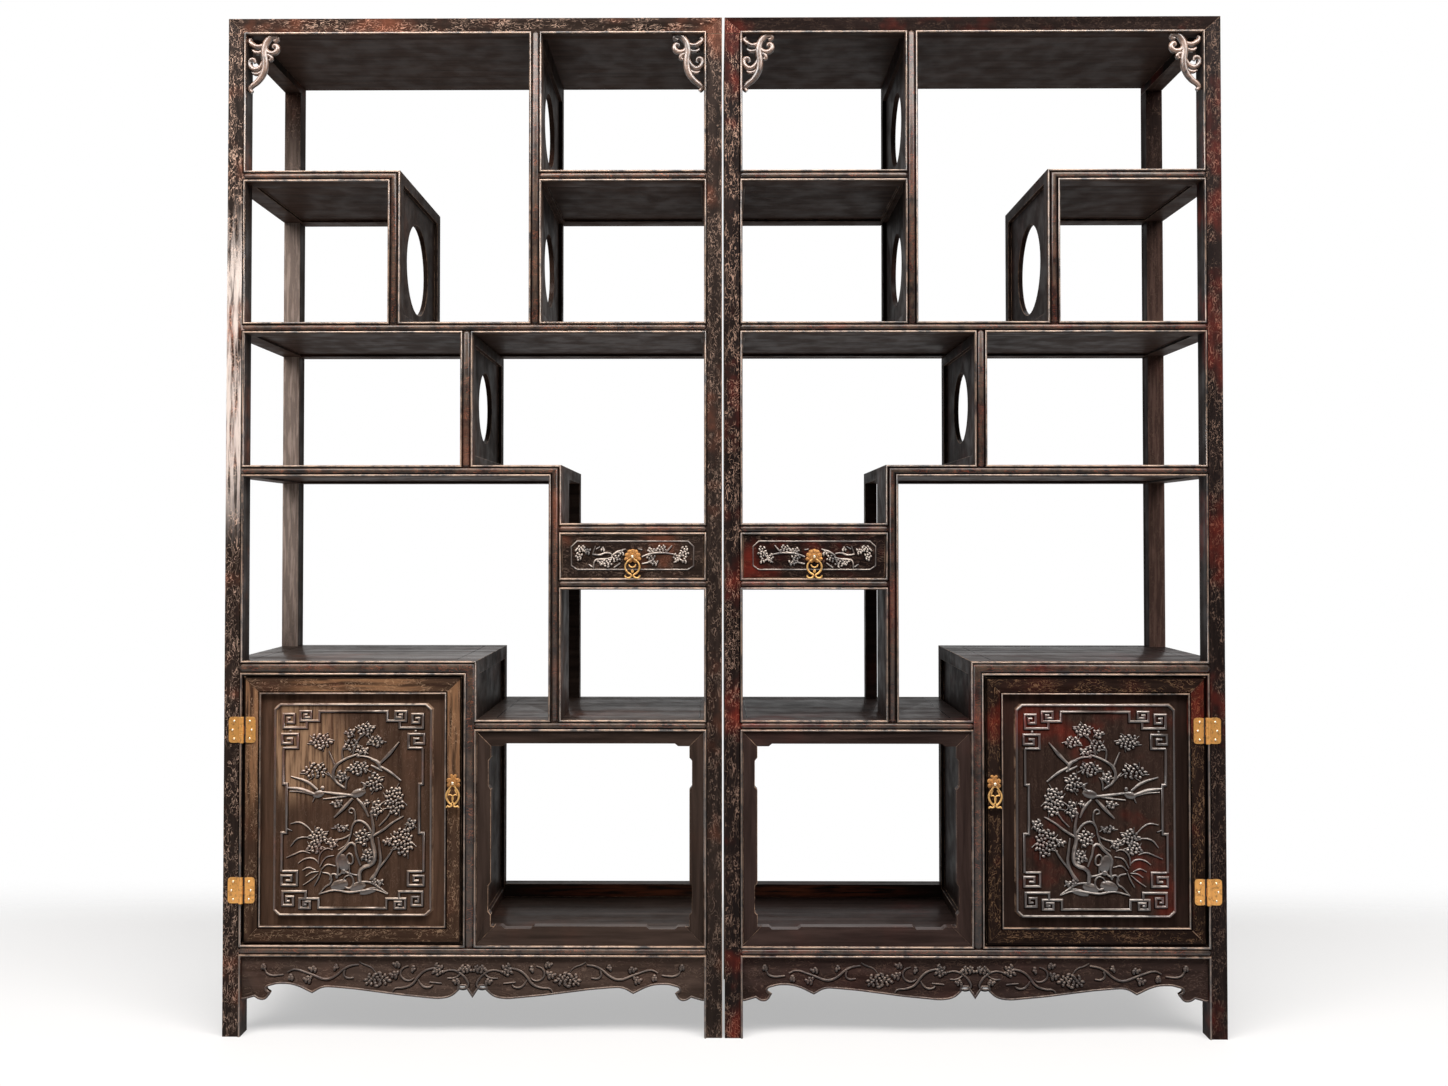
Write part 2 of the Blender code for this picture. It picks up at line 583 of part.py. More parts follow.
def hinge(cabinet, piece, z, axis):
    """A surface hinge: the post leaf holds the pin, the door leaf turns on it."""
    third = HINGE_H / 3
    v0, v1 = -FIT - HINGE_LEAF_T, -FIT
    low, high = z - HINGE_H / 2, z + HINGE_H / 2
    near = KNUCKLE_R + KNUCKLE_CLEAR
    post, leaf = f"{piece}_post_leaf", f"{piece}_door_leaf"
    outer, inner = HINGE_U - HINGE_LEAF_W, HINGE_U + HINGE_LEAF_W
    split = KNUCKLE_CLEAR / 2
    cabinet.solid(post, Box(outer, HINGE_U - near, v0, v1, low, high, HINGE_CORNER, 3))
    for z0, z1 in ((low, low + third - split), (high - third + split, high)):
        cabinet.solid(post, Box(HINGE_U - near - OVERLAP, HINGE_U - KNUCKLE_R / 2, v0, v1,
                                z0 + split, z1 - split))
        cabinet.solid(post, Rod("z", HINGE_U, HINGE_V, middle_of(z0, z1), KNUCKLE_R, z1 - z0,
                                BARREL_SEGMENTS))
    cabinet.solid(post, Rod("z", HINGE_U, HINGE_V, z, HINGE_PIN_R, HINGE_H - third, BARREL_SEGMENTS))
    z0, z1 = low + third + split, high - third - split
    cabinet.solid(leaf, Box(HINGE_U + near, inner, v0, v1, low, high, HINGE_CORNER, 3))
    cabinet.solid(leaf, Box(HINGE_U + KNUCKLE_R / 2, HINGE_U + near + OVERLAP, v0, v1,
                            z0 + split, z1 - split))
    cabinet.solid(leaf, Rod("z", HINGE_U, HINGE_V, z, KNUCKLE_R, z1 - z0, BARREL_SEGMENTS))
    cabinet.cut(leaf, Rod("z", HINGE_U, HINGE_V, z, HINGE_PIN_R + BORE_CLEAR, HINGE_H, BARREL_SEGMENTS))
    build_piece(cabinet, post, BRASS)
    build_piece(cabinet, leaf, BRASS, axis)


def pull(cabinet, piece, u, face_v, z, carrier, plate, pendant):
    """A backplate with two lugs and a pin, and a pendant that swings on the pin."""
    plate_w, above, below = plate
    pendant_w, drop = pendant
    axis_v = face_v - PULL_REACH
    half = PULL_BARREL_L / 2 + PULL_LUG_CLEAR
    back = f"{piece}_plate"
    hanging = f"{piece}_pendant"
    front_v = face_v - FIT - PULL_PLATE_T
    cabinet.solid(back, Box(u - plate_w / 2, u + plate_w / 2, front_v, face_v - FIT, z - below, z + above,
                            plate_w / 3, 3))
    for side in (-1, 1):
        u0, u1 = sorted((u + side * half, u + side * (half + PULL_LUG_T)))
        cabinet.solid(back, Box(u0, u1, axis_v - PULL_BARREL_R, front_v + PULL_PLATE_T / 2,
                                z - PULL_BARREL_R, z + PULL_BARREL_R))
    cabinet.solid(back, Rod("u", u, axis_v, z, PULL_PIN_R, 2 * half + PULL_LUG_T, BARREL_SEGMENTS))
    neck = PULL_BARREL_L / 2 - PULL_LUG_CLEAR
    cabinet.solid(hanging, Rod("u", u, axis_v, z, PULL_BARREL_R, PULL_BARREL_L, BARREL_SEGMENTS))
    slim = PENDANT_T / 2 - PULL_LUG_CLEAR
    cabinet.solid(hanging, Box(u - neck, u + neck, axis_v - slim, axis_v + slim, z - PULL_NECK - OVERLAP, z))
    cabinet.solid(hanging, Box(u - pendant_w / 2, u + pendant_w / 2,
                               axis_v - PENDANT_T / 2, axis_v + PENDANT_T / 2,
                               z - drop, z - PULL_NECK, pendant_w / 3, 3))
    middle_z = z - middle_of(PULL_NECK, drop)
    cabinet.cut(hanging, Rod("v", u, axis_v, middle_z, pendant_w / 5, 3 * PENDANT_T, BARREL_SEGMENTS))
    cabinet.cut(hanging, Rod("u", u, axis_v, z, PULL_PIN_R + BORE_CLEAR, 2 * PULL_BARREL_L, BARREL_SEGMENTS))
    swing = axis_empty(cabinet, f"{piece}_axis", u, axis_v, z, carrier)
    build_piece(cabinet, back, BRASS, carrier)
    build_piece(cabinet, hanging, BRASS, swing)


# Drawer

def drawer(cabinet):
    """The drawer box, which slides on the case floor, and its pull."""
    u0, u1 = STEP_U[1] + DRAWER_GAP, INNER_U - DRAWER_GAP
    z0, z1 = F_Z[1] + FIT, E_Z[0] - DRAWER_GAP
    v1 = CABINET_D - CASE_PANEL_T - DRAWER_BACK_GAP
    cabinet.solid("drawer", Box(u0, u1, DRAWER_SETBACK, v1, z0, z1))
    cabinet.cut("drawer", Box(u0 + DRAWER_WALL_T, u1 - DRAWER_WALL_T, DRAWER_SETBACK + DRAWER_FRONT_T,
                              v1 - DRAWER_WALL_T, z0 + DRAWER_WALL_T, z1 + OVERLAP))
    slide = axis_empty(cabinet, "drawer_slide", middle_of(u0, u1), DRAWER_SETBACK, middle_of(z0, z1))
    build_piece(cabinet, "drawer", CARVED, slide)
    pull(cabinet, "drawer_pull", middle_of(u0, u1), DRAWER_SETBACK, middle_of(z0, z1), slide,
         (DRAWER_PULL_W, DRAWER_PULL_ABOVE, DRAWER_PULL_BELOW), (DRAWER_PENDANT_W, DRAWER_PENDANT_DROP))


for leftover in list(bpy.data.objects):
    bpy.data.objects.remove(leftover)
PARTS = collection("carved_display_shelf")
CUTTERS = collection("cutters")
WOOD = finish("dark_lacquered_wood", (0.030, 0.019, 0.014), 0.42)
BOARD = finish("plain_board_wood", (0.040, 0.027, 0.020), 0.48)
CARVED = finish("carved_panel_wood", (0.048, 0.031, 0.021), 0.45)
BRASS = finish("aged_brass", (0.56, 0.33, 0.11), 0.35, 1.0)

for cabinet in (Cabinet("left", -1), Cabinet("right", 1)):
    shelves(cabinet)
    drawer_case(cabinet)
    posts(cabinet)
    cupboard_panels(cabinet)
    apron(cabinet)
    bay_frame(cabinet)
    for framed in ("top_frame", "box_step", "upper_divider", "shelf_upper", "shelf_main", "middle_divider",
                   "drawer_step", "drawer_case", "shelf_lower", "cupboard_step", "floor_frame",
                   "post_front_outer", "post_front_inner", "post_back_outer", "post_back_inner"):
        build_piece(cabinet, framed, WOOD)
    for panel in ("cupboard_back", "cupboard_side"):
        build_piece(cabinet, panel, BOARD)
    door(cabinet)
    drawer(cabinet)
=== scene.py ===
"""Looks of a mirrored pair of carved hardwood display cabinets with stepped open shelves."""

import math

import bmesh
import bpy
from mathutils import Matrix, Vector


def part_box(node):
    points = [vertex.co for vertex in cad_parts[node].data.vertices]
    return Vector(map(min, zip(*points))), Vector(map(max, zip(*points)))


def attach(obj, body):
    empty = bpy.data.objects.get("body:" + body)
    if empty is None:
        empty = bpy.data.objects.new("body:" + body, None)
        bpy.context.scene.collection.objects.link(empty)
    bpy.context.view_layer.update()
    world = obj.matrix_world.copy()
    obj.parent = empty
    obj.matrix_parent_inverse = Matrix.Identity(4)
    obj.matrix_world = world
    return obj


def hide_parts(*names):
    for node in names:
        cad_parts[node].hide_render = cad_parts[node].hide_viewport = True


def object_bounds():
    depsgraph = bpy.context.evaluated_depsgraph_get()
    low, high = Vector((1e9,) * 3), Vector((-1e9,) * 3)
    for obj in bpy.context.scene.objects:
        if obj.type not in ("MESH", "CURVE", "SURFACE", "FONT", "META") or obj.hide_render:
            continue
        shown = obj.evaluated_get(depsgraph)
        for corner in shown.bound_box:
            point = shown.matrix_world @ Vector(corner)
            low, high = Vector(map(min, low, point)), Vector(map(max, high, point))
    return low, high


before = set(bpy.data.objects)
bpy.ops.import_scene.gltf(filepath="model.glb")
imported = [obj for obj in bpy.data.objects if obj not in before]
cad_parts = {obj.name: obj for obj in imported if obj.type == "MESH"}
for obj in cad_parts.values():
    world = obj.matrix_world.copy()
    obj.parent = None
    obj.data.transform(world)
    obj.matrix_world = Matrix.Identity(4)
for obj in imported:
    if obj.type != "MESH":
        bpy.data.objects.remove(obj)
cad_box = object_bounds()

# Posts and top frames
# Square hardwood posts and the frame over them, under an old dark lacquer that has crackled into
# fine pale squiggles and worn to red in patches. The arrises are rubbed round.
CABINETS = ("left", "right")
ARRIS = 0.0011
ARRIS_STEPS = 2
MERGE = 0.00005
FLAT = math.radians(1)
SHARP = math.radians(35)
SMOOTH_UNDER = math.radians(20)
ROUND_UNDER = math.radians(75)
WORN = "worn_edge"
SKYWARD = "faces_up"
SHOWN = "faces_out"
HIDDEN = "faces_down"
UPRIGHT_GRAIN = (70.0, 70.0, 5.0)
LEVEL_GRAIN = (5.0, 70.0, 70.0)
UPRIGHT_CRACKS = (1.0, 1.0, 0.42)
LEVEL_CRACKS = (0.42, 1.0, 1.0)
LACQUER_BLACK = {"left": (0.0165, 0.0110, 0.0088, 1.0), "right": (0.0092, 0.0058, 0.0050, 1.0)}
LACQUER_RED = {"left": (0.140, 0.046, 0.025, 1.0), "right": (0.108, 0.0150, 0.0095, 1.0)}
CRACKLE_PALE = {"left": (0.43, 0.29, 0.22, 1.0), "right": (0.33, 0.21, 0.155, 1.0)}
CRACKLE_RED = {"left": (0.52, 0.135, 0.060, 1.0), "right": (0.42, 0.080, 0.036, 1.0)}
RUBBED_AND_HIGHLIGHT_TAN = (0.43, 0.28, 0.19, 1.0)
RAW_WOOD = {"left": (0.067, 0.0405, 0.0305, 1.0), "right": (0.055, 0.0330, 0.0255, 1.0)}
DRY_GLOSS = 0.012
LACQUER_GLOSS = 0.06
POLISH = 0.24
POLISH_ROUGHNESS = 0.20
POLISH_SPREAD = (0.4, 1.6)
GRAIN_BUMP = 0.25
GRAIN_DEPTH = 0.0006
CRACKLE_SCALE = 130.0
TOP_SHARE = 0.3
WEAR_HEIGHTS = (0.2, 1.3)
WEAR_LOW = 0.70


def merged_copy(node):
    """A bmesh of a node's solid, with its loose triangles joined into flat faces."""
    bm = bmesh.new()
    bm.from_mesh(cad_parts[node].data)
    bmesh.ops.remove_doubles(bm, verts=bm.verts, dist=MERGE)
    bmesh.ops.dissolve_degenerate(bm, edges=bm.edges, dist=MERGE)
    bmesh.ops.dissolve_limit(bm, angle_limit=FLAT, verts=bm.verts, edges=bm.edges)
    return bm


def soften(bm, width):
    """Rounds the sharp edges, and marks the rounded faces as worn."""
    worn = bm.faces.layers.float.new(WORN)
    sharp = [edge for edge in bm.edges if edge.is_manifold and edge.calc_face_angle() > SHARP]
    rounded = bmesh.ops.bevel(bm, geom=sharp, offset=width, offset_type="OFFSET", affect="EDGES",
                              segments=ARRIS_STEPS, profile=0.5, clamp_overlap=True, material=-1)
    for face in rounded["faces"]:
        face[worn] = 1.0


def make_piece(name, bm, materials, body, replaced=(), smooth=SMOOTH_UNDER):
    """Turns a bmesh into a piece that rides on a body, and stands for CAD nodes if any are named."""
    mesh = bpy.data.meshes.new(name)
    bm.to_mesh(mesh)
    bm.free()
    mesh.shade_smooth()
    mesh.set_sharp_from_angle(angle=smooth)
    for material in materials:
        mesh.materials.append(material)
    for attribute, share in ((SKYWARD, lambda face: face.normal.z), (HIDDEN, lambda face: -face.normal.z),
                             (SHOWN, lambda face: max(-face.normal.y, TOP_SHARE * face.normal.z,
                                                      face.normal.x * face.center.x / cad_box[1][0]))):
        mask = mesh.attributes.new(attribute, "FLOAT", "FACE")
        mask.data.foreach_set("value", [max(0.0, share(face)) for face in mesh.polygons])
    made = bpy.data.objects.new(name, mesh)
    bpy.context.scene.collection.objects.link(made)
    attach(made, body)
    if replaced:
        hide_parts(*replaced)


def softened_node(node, material, body, width=ARRIS):
    """The node's own shape with rounded arrises, in its place."""
    bm = merged_copy(node)
    soften(bm, width)
    make_piece(f"{node}_wood", bm, [material], body, (node,))


def wire(tree, kind, inputs=(), **settings):
    """A shader node with its settings, and its inputs set or linked."""
    made = tree.nodes.new(kind)
    for name, value in settings.items():
        setattr(made, name, value)
    for name, value in dict(inputs).items():
        if isinstance(value, bpy.types.NodeSocket):
            tree.links.new(value, made.inputs[name])
        else:
            made.inputs[name].default_value = value
    return made


def maths(tree, operation, first, second=0.0, clamp=False):
    """One step of arithmetic on values."""
    return wire(tree, "ShaderNodeMath", {0: first, 1: second}, operation=operation,
                use_clamp=clamp).outputs[0]


def remap(tree, value, low, high, to_low=0.0, to_high=1.0):
    """The value's range between low and high, eased and stretched to another range."""
    return wire(tree, "ShaderNodeMapRange", {"Value": value, "From Min": low, "From Max": high,
                                             "To Min": to_low, "To Max": to_high},
                interpolation_type="SMOOTHSTEP").outputs["Result"]


def blend_colours(tree, factor, first, second, how="MIX"):
    """Two colours mixed by a factor."""
    return wire(tree, "ShaderNodeMix", {"Factor": factor, "A": first, "B": second}, data_type="RGBA",
                blend_type=how).outputs["Result"]


def noise(tree, place, scale, detail=2.0, roughness=0.5, distortion=0.0):
    """A noise value over a place."""
    return wire(tree, "ShaderNodeTexNoise", {"Vector": place, "Scale": scale, "Detail": detail,
                                             "Roughness": roughness,
                                             "Distortion": distortion}).outputs["Fac"]


def effect(name, inputs, outputs):
    """A shader node group with these sockets; gives its tree and its two ends."""
    tree = bpy.data.node_groups.new(name, "ShaderNodeTree")
    for socket, kind in inputs.items():
        tree.interface.new_socket(socket, in_out="INPUT", socket_type=f"NodeSocket{kind}")
    for socket, kind in outputs.items():
        tree.interface.new_socket(socket, in_out="OUTPUT", socket_type=f"NodeSocket{kind}")
    return tree, tree.nodes.new("NodeGroupInput").outputs, tree.nodes.new("NodeGroupOutput")


def use(tree, group, inputs):
    """A node group placed in a material; gives its outputs."""
    return wire(tree, "ShaderNodeGroup", inputs, node_tree=group).outputs


def object_place(tree):
    """Object coordinates."""
    return wire(tree, "ShaderNodeTexCoord").outputs["Object"]


def stretched(tree, scale):
    """Object coordinates, scaled by axis."""
    return wire(tree, "ShaderNodeMapping", {"Vector": object_place(tree), "Scale": scale}).outputs["Vector"]


def face_mask(tree, attribute):
    """A value that each face of the piece holds."""
    return wire(tree, "ShaderNodeAttribute", attribute_name=attribute).outputs["Fac"]


def axis_of(tree, place, axis):
    """One axis of a place."""
    return wire(tree, "ShaderNodeSeparateXYZ", {"Vector": place}).outputs[axis]


def lacquer_effect():
    """Dark lacquer over wood grain, worn through to red in soft patches."""
    tree, given, out = effect("old_lacquer",
                              {"Place": "Vector", "Grain": "Vector", "Black": "Color", "Red": "Color",
                               "Redness": "Float"},
                              {"Colour": "Color", "Patch": "Float", "Roughness": "Float",
                               "Height": "Float"})
    grain = noise(tree, given["Grain"], 1.0, 5.0, 0.62, 0.4)
    cloud = noise(tree, given["Place"], 5.5, 4.0, 0.65)
    patch = maths(tree, "MULTIPLY", remap(tree, cloud, 0.50, 0.74), given["Redness"], True)
    ground = blend_colours(tree, patch, given["Black"], given["Red"])
    shade = remap(tree, grain, 0.25, 0.75, 0.62, 1.45)
    tone = wire(tree, "ShaderNodeHueSaturation", {"Value": shade, "Color": ground}).outputs["Color"]
    gloss = remap(tree, noise(tree, given["Place"], 23.0, 3.0), 0.3, 0.7, 0.42, 0.60)
    for name, value in (("Colour", tone), ("Patch", patch), ("Roughness", gloss), ("Height", grain)):
        tree.links.new(value, out.inputs[name])
    return tree


def crackle_effect():
    """Thin squiggly lines in broken patches, as old lacquer crackles."""
    tree, given, out = effect("crackle_lines", {"Place": "Vector", "Scale": "Float", "Amount": "Float"},
                              {"Mask": "Float"})
    field = noise(tree, given["Place"], given["Scale"], 1.2, 0.5, 1.6)
    away = maths(tree, "ABSOLUTE", maths(tree, "SUBTRACT", field, 0.5))
    lines = remap(tree, away, 0.006, 0.038, 1.0, 0.0)
    breaks = noise(tree, given["Place"], maths(tree, "MULTIPLY", given["Scale"], 0.45), 2.0, 0.6)
    shown = remap(tree, breaks, 0.38, 0.56)
    mask = maths(tree, "MULTIPLY", maths(tree, "MULTIPLY", lines, shown), given["Amount"], True)
    tree.links.new(mask, out.inputs["Mask"])
    return tree


def rub_effect():
    """Where hands and cloths have rubbed an edge pale, broken up along its length; in relief it also carries
    a painted highlight on upward faces.
    """
    tree, given, out = effect("rubbed_edges_and_highlights", {"Place": "Vector", "Edge": "Float", "Amount": "Float"},
                              {"Mask": "Float"})
    broken = remap(tree, noise(tree, given["Place"], 38.0, 4.0, 0.7), 0.34, 0.62)
    mask = maths(tree, "MULTIPLY", maths(tree, "MULTIPLY", broken, given["Edge"]), given["Amount"], True)
    tree.links.new(mask, out.inputs["Mask"])
    return tree


def patch_effect():
    """An oval place, in streaks along the grain, that is rubbed bare or dusty, or that holds a painted
    glare.
    """
    tree, given, out = effect("worn_or_glare_patch", {"Place": "Vector", "Grain": "Vector", "Centre": "Vector",
                                             "Reach": "Vector", "Amount": "Float", "Even": "Float"},
                              {"Mask": "Float"})
    away = wire(tree, "ShaderNodeVectorMath", {0: given["Place"], 1: given["Centre"]}, operation="SUBTRACT")
    away = wire(tree, "ShaderNodeVectorMath", {0: away.outputs["Vector"], 1: given["Reach"]},
                operation="DIVIDE")
    far = wire(tree, "ShaderNodeVectorMath", {0: away.outputs["Vector"]},
               operation="LENGTH").outputs["Value"]
    streaks = remap(tree, noise(tree, given["Grain"], 2.0, 4.0, 0.6), 0.34, 0.62)
    streaks = maths(tree, "MAXIMUM", streaks, given["Even"])
    inside = maths(tree, "MULTIPLY", remap(tree, far, 0.45, 1.0, 1.0, 0.0), streaks)
    mask = maths(tree, "MULTIPLY", inside, given["Amount"], True)
    tree.links.new(mask, out.inputs["Mask"])
    return tree


LACQUER = lacquer_effect()
CRACKLE = crackle_effect()
RUB = rub_effect()
PATCH = patch_effect()


def start_material(name):
    """A new material; gives it, its tree and its Principled shader."""
    material = bpy.data.materials.new(name)
    material.use_nodes = True
    return material, material.node_tree, material.node_tree.nodes["Principled BSDF"]


def lacquer_on(tree, cabinet, grain, wood, lift, redness):
    """The lacquer effect in a cabinet's own colours, lifted from black; gives its outputs."""
    return use(tree, LACQUER, {"Place": object_place(tree), "Grain": stretched(tree, grain),
                               "Black": [lift * part for part in wood[cabinet][:3]] + [1.0],
                               "Red": LACQUER_RED[cabinet], "Redness": redness})


def wear_by_height(tree, place):
    """Less wear low down than high up."""
    return remap(tree, axis_of(tree, place, "Z"), *WEAR_HEIGHTS, WEAR_LOW, 1.0)


def lacquered(name, cabinet, grain, cracks=None, crackle=0.0, redness=0.6, edge_rub=0.5, lift=1.0,
              gloss=DRY_GLOSS, worn=None, wood=LACQUER_BLACK, polish=POLISH,
              cracked=CRACKLE_PALE):
    """Lacquered wood with its grain along a piece; crackled, and worn, dusty or marked with a painted glare
    in one place, where asked.
    """
    material, tree, shader = start_material(name)
    place = object_place(tree)
    ground = lacquer_on(tree, cabinet, grain, wood, lift, redness)
    beneath = face_mask(tree, HIDDEN)
    dry = wire(tree, "ShaderNodeHueSaturation", {"Value": remap(tree, ground["Height"], 0.3, 0.7, 0.75,
                                                                1.25),
                                                 "Color": RAW_WOOD[cabinet]}).outputs["Color"]
    colour = blend_colours(tree, beneath, ground["Colour"], dry)
    outside = face_mask(tree, SHOWN)
    if crackle:
        amount = maths(tree, "MULTIPLY", maths(tree, "MULTIPLY", outside, wear_by_height(tree, place)),
                       crackle)
        lines = use(tree, CRACKLE, {"Place": stretched(tree, cracks), "Scale": CRACKLE_SCALE,
                                    "Amount": amount})["Mask"]
        tint = blend_colours(tree, ground["Patch"], cracked[cabinet], CRACKLE_RED[cabinet])
        colour = blend_colours(tree, lines, colour, tint)
    # The patch is wear or dust, but a painted glare on the left outer post.
    if worn:
        patch_or_glare = use(tree, PATCH, {"Place": place, "Grain": stretched(tree, grain), "Centre": worn["centre"],
                                 "Reach": worn["reach"], "Even": worn.get("even", 0.0),
                                 "Amount": maths(tree, "MULTIPLY", outside, worn["amount"])})["Mask"]
        colour = blend_colours(tree, patch_or_glare, colour, worn["colour"])
    edge = face_mask(tree, WORN)
    rubbed = use(tree, RUB, {"Place": place, "Edge": edge, "Amount": edge_rub})["Mask"]
    colour = blend_colours(tree, rubbed, colour, RUBBED_AND_HIGHLIGHT_TAN)
    bump = wire(tree, "ShaderNodeBump", {"Height": ground["Height"], "Strength": GRAIN_BUMP,
                                         "Distance": GRAIN_DEPTH})
    tree.links.new(colour, shader.inputs["Base Color"])
    tree.links.new(ground["Roughness"], shader.inputs["Roughness"])
    tree.links.new(bump.outputs["Normal"], shader.inputs["Normal"])
    shader.inputs["Specular IOR Level"].default_value = gloss
    upward = face_mask(tree, SKYWARD)
    dulled = remap(tree, noise(tree, stretched(tree, grain), 0.35, 4.0, 0.6), 0.36, 0.64,
                   *(polish * share for share in POLISH_SPREAD))
    tree.links.new(maths(tree, "MULTIPLY", upward, dulled), shader.inputs["Coat Weight"])
    shader.inputs["Coat Roughness"].default_value = POLISH_ROUGHNESS
    return material


TOP_CRACKLE = {"left": 0.68, "right": 0.08}
POST_WEAR = {"left_front_outer": (1.0, 1.0), "left_front_inner": (0.46, 0.6),
             "right_front_inner": (0.85, 1.0), "right_front_outer": (0.40, 0.75)}
# A painted glare: a pale oval on the left outer post's front that stands in for light reflected off the
# lacquer.
PAINTED_GLARE = {"left_front_outer": {"centre": (-0.95, 0.0, 1.29), "reach": (9.0, 9.0, 0.36), "amount": 0.9,
                                 "colour": (0.64, 0.55, 0.50, 1.0)}}
DUSTY = {"left": {"centre": (0.0, 0.0, 1.24), "reach": (9.0, 9.0, 0.68), "amount": 0.72,
                  "colour": (0.62, 0.49, 0.42, 1.0), "even": 0.55},
         "right": {"centre": (0.0, 0.0, 1.0), "reach": (9.0, 9.0, 0.90), "amount": 0.6,
                   "colour": (0.17, 0.10, 0.080, 1.0), "even": 0.5}}
MITRE_PROUD = 0.0006


def thin_plate(corners, face_y, proud):
    """A thin plate with softened edges that faces a joint on the front."""
    plate = bmesh.new()
    plate.faces.new([plate.verts.new((x, face_y, z)) for x, z in corners])
    pulled = bmesh.ops.extrude_face_region(plate, geom=plate.faces[:])["geom"]
    for vert in [item for item in pulled if isinstance(item, bmesh.types.BMVert)]:
        vert.co.y -= proud
    bmesh.ops.recalc_face_normals(plate, faces=plate.faces)
    soften(plate, proud / 2)
    return plate


for cabinet in CABINETS:
    back_finish = lacquered(f"{cabinet}_back_post_lacquer", cabinet, UPRIGHT_GRAIN, UPRIGHT_CRACKS,
                            crackle=0.2, redness=0.2, lift=2.0, worn=DUSTY[cabinet])
    top_finish = lacquered(f"{cabinet}_top_lacquer", cabinet, LEVEL_GRAIN, LEVEL_CRACKS,
                           TOP_CRACKLE[cabinet])
    softened_node(f"{cabinet}_top_frame", top_finish, "cabinets")
    low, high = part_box(f"{cabinet}_top_frame")
    for place in ("front_outer", "front_inner"):
        crackle, redness = POST_WEAR[f"{cabinet}_{place}"]
        post_finish = lacquered(f"{cabinet}_{place}_lacquer", cabinet, UPRIGHT_GRAIN, UPRIGHT_CRACKS,
                                crackle, redness=redness, gloss=LACQUER_GLOSS,
                                worn=PAINTED_GLARE.get(f"{cabinet}_{place}"))
        softened_node(f"{cabinet}_post_{place}", post_finish, "cabinets")
        face_low, face_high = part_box(f"{cabinet}_post_{place}")
        tip_x = face_low.x if face_low.x - low.x < high.x - face_high.x else face_high.x
        head = thin_plate([(face_low.x, low.z), (face_high.x, low.z), (tip_x, high.z)], face_low.y,
                          MITRE_PROUD)
        make_piece(f"{cabinet}_post_{place}_head", head, [post_finish], "cabinets")
    for place in ("back_outer", "back_inner"):
        softened_node(f"{cabinet}_post_{place}", back_finish, "cabinets")
    post_w = face_high.x - face_low.x
    rail = thin_plate([(low.x + post_w, low.z), (high.x - post_w, low.z), (high.x, high.z),
                       (low.x, high.z)],
                      face_low.y, MITRE_PROUD)
    make_piece(f"{cabinet}_top_rail_face", rail, [top_finish], "cabinets")

# Shelves, dividers and steps
# Framed shelves, each with a floating board, and the pierced side frames that carry the stepped
# ones: the same dark wood, brown and dry underneath, satin where things stand on it.
LEVEL_PIECES = ("box_step", "shelf_upper", "shelf_main", "drawer_step", "drawer_case", "shelf_lower",
                "cupboard_step")
UPRIGHT_PIECES = ("upper_divider", "middle_divider")
FRAME_LIFT = 1.6
FRAME_WEAR = {"redness": 0.22, "edge_rub": 0.35}
STOP_PLACE = (0.23, 0.165, 0.190)
STOP_REACH = (0.26, 0.03, 0.020)
STOP_RED = (0.20, 0.060, 0.030, 1.0)
BAY_LIFT = {"left": 2.0, "right": 3.3}
FLOOR_LIFT = {"left": 2.1, "right": 3.0}
SHELF_POLISH = {"left_shelf_lower": 0.13, "right_shelf_lower": 0.09, "right_cupboard_step": 0.17}
BAY_POLISH = 0.10
MITRE_GAP = 0.00012


def add_to(bm, other):
    """Adds one bmesh to another, and frees it."""
    held = bpy.data.meshes.new("held")
    other.to_mesh(held)
    other.free()
    bm.from_mesh(held)
    bpy.data.meshes.remove(held)


def saw_off(bm, cuts):
    """Saws off what lies beyond each plane, given as a place and a direction, and closes the cuts."""
    for place, direction in cuts:
        bmesh.ops.bisect_plane(bm, geom=[*bm.verts, *bm.edges, *bm.faces], dist=MERGE / 10, plane_co=place,
                               plane_no=direction, clear_outer=True)
    bmesh.ops.holes_fill(bm, edges=[edge for edge in bm.edges if edge.is_boundary], sides=0)


def mitred_frame(node, trim=0.0):
    """A rectangular frame's solid, sawn at its corners into four members with softened edges."""
    low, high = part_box(node)
    across, upward = Vector((1.0, 0.0, 0.0)), Vector((0.0, 0.0, 1.0))
    parts = bmesh.new()
    for outward, along in ((across, upward), (-across, upward), (upward, across), (-upward, across)):
        member = merged_copy(node)
        cuts = []
        for end in (1, -1):
            reach = outward + end * along
            corner = Vector((high.x if reach.x > 0 else low.x, 0.0, high.z if reach.z > 0 else low.z))
            saw = (end * along - outward).normalized()
            cuts.append((corner - saw * MITRE_GAP, saw))
        saw_off(member, cuts)
        side = high if sum(outward) > 0 else low
        outer = [vert for vert in member.verts if abs((vert.co - side).dot(outward)) < MERGE]
        bmesh.ops.translate(member, verts=outer, vec=-trim * outward)
        soften(member, ARRIS)
        for face in member.faces:
            face.material_index = int(along is across)
        add_to(parts, member)
    return parts


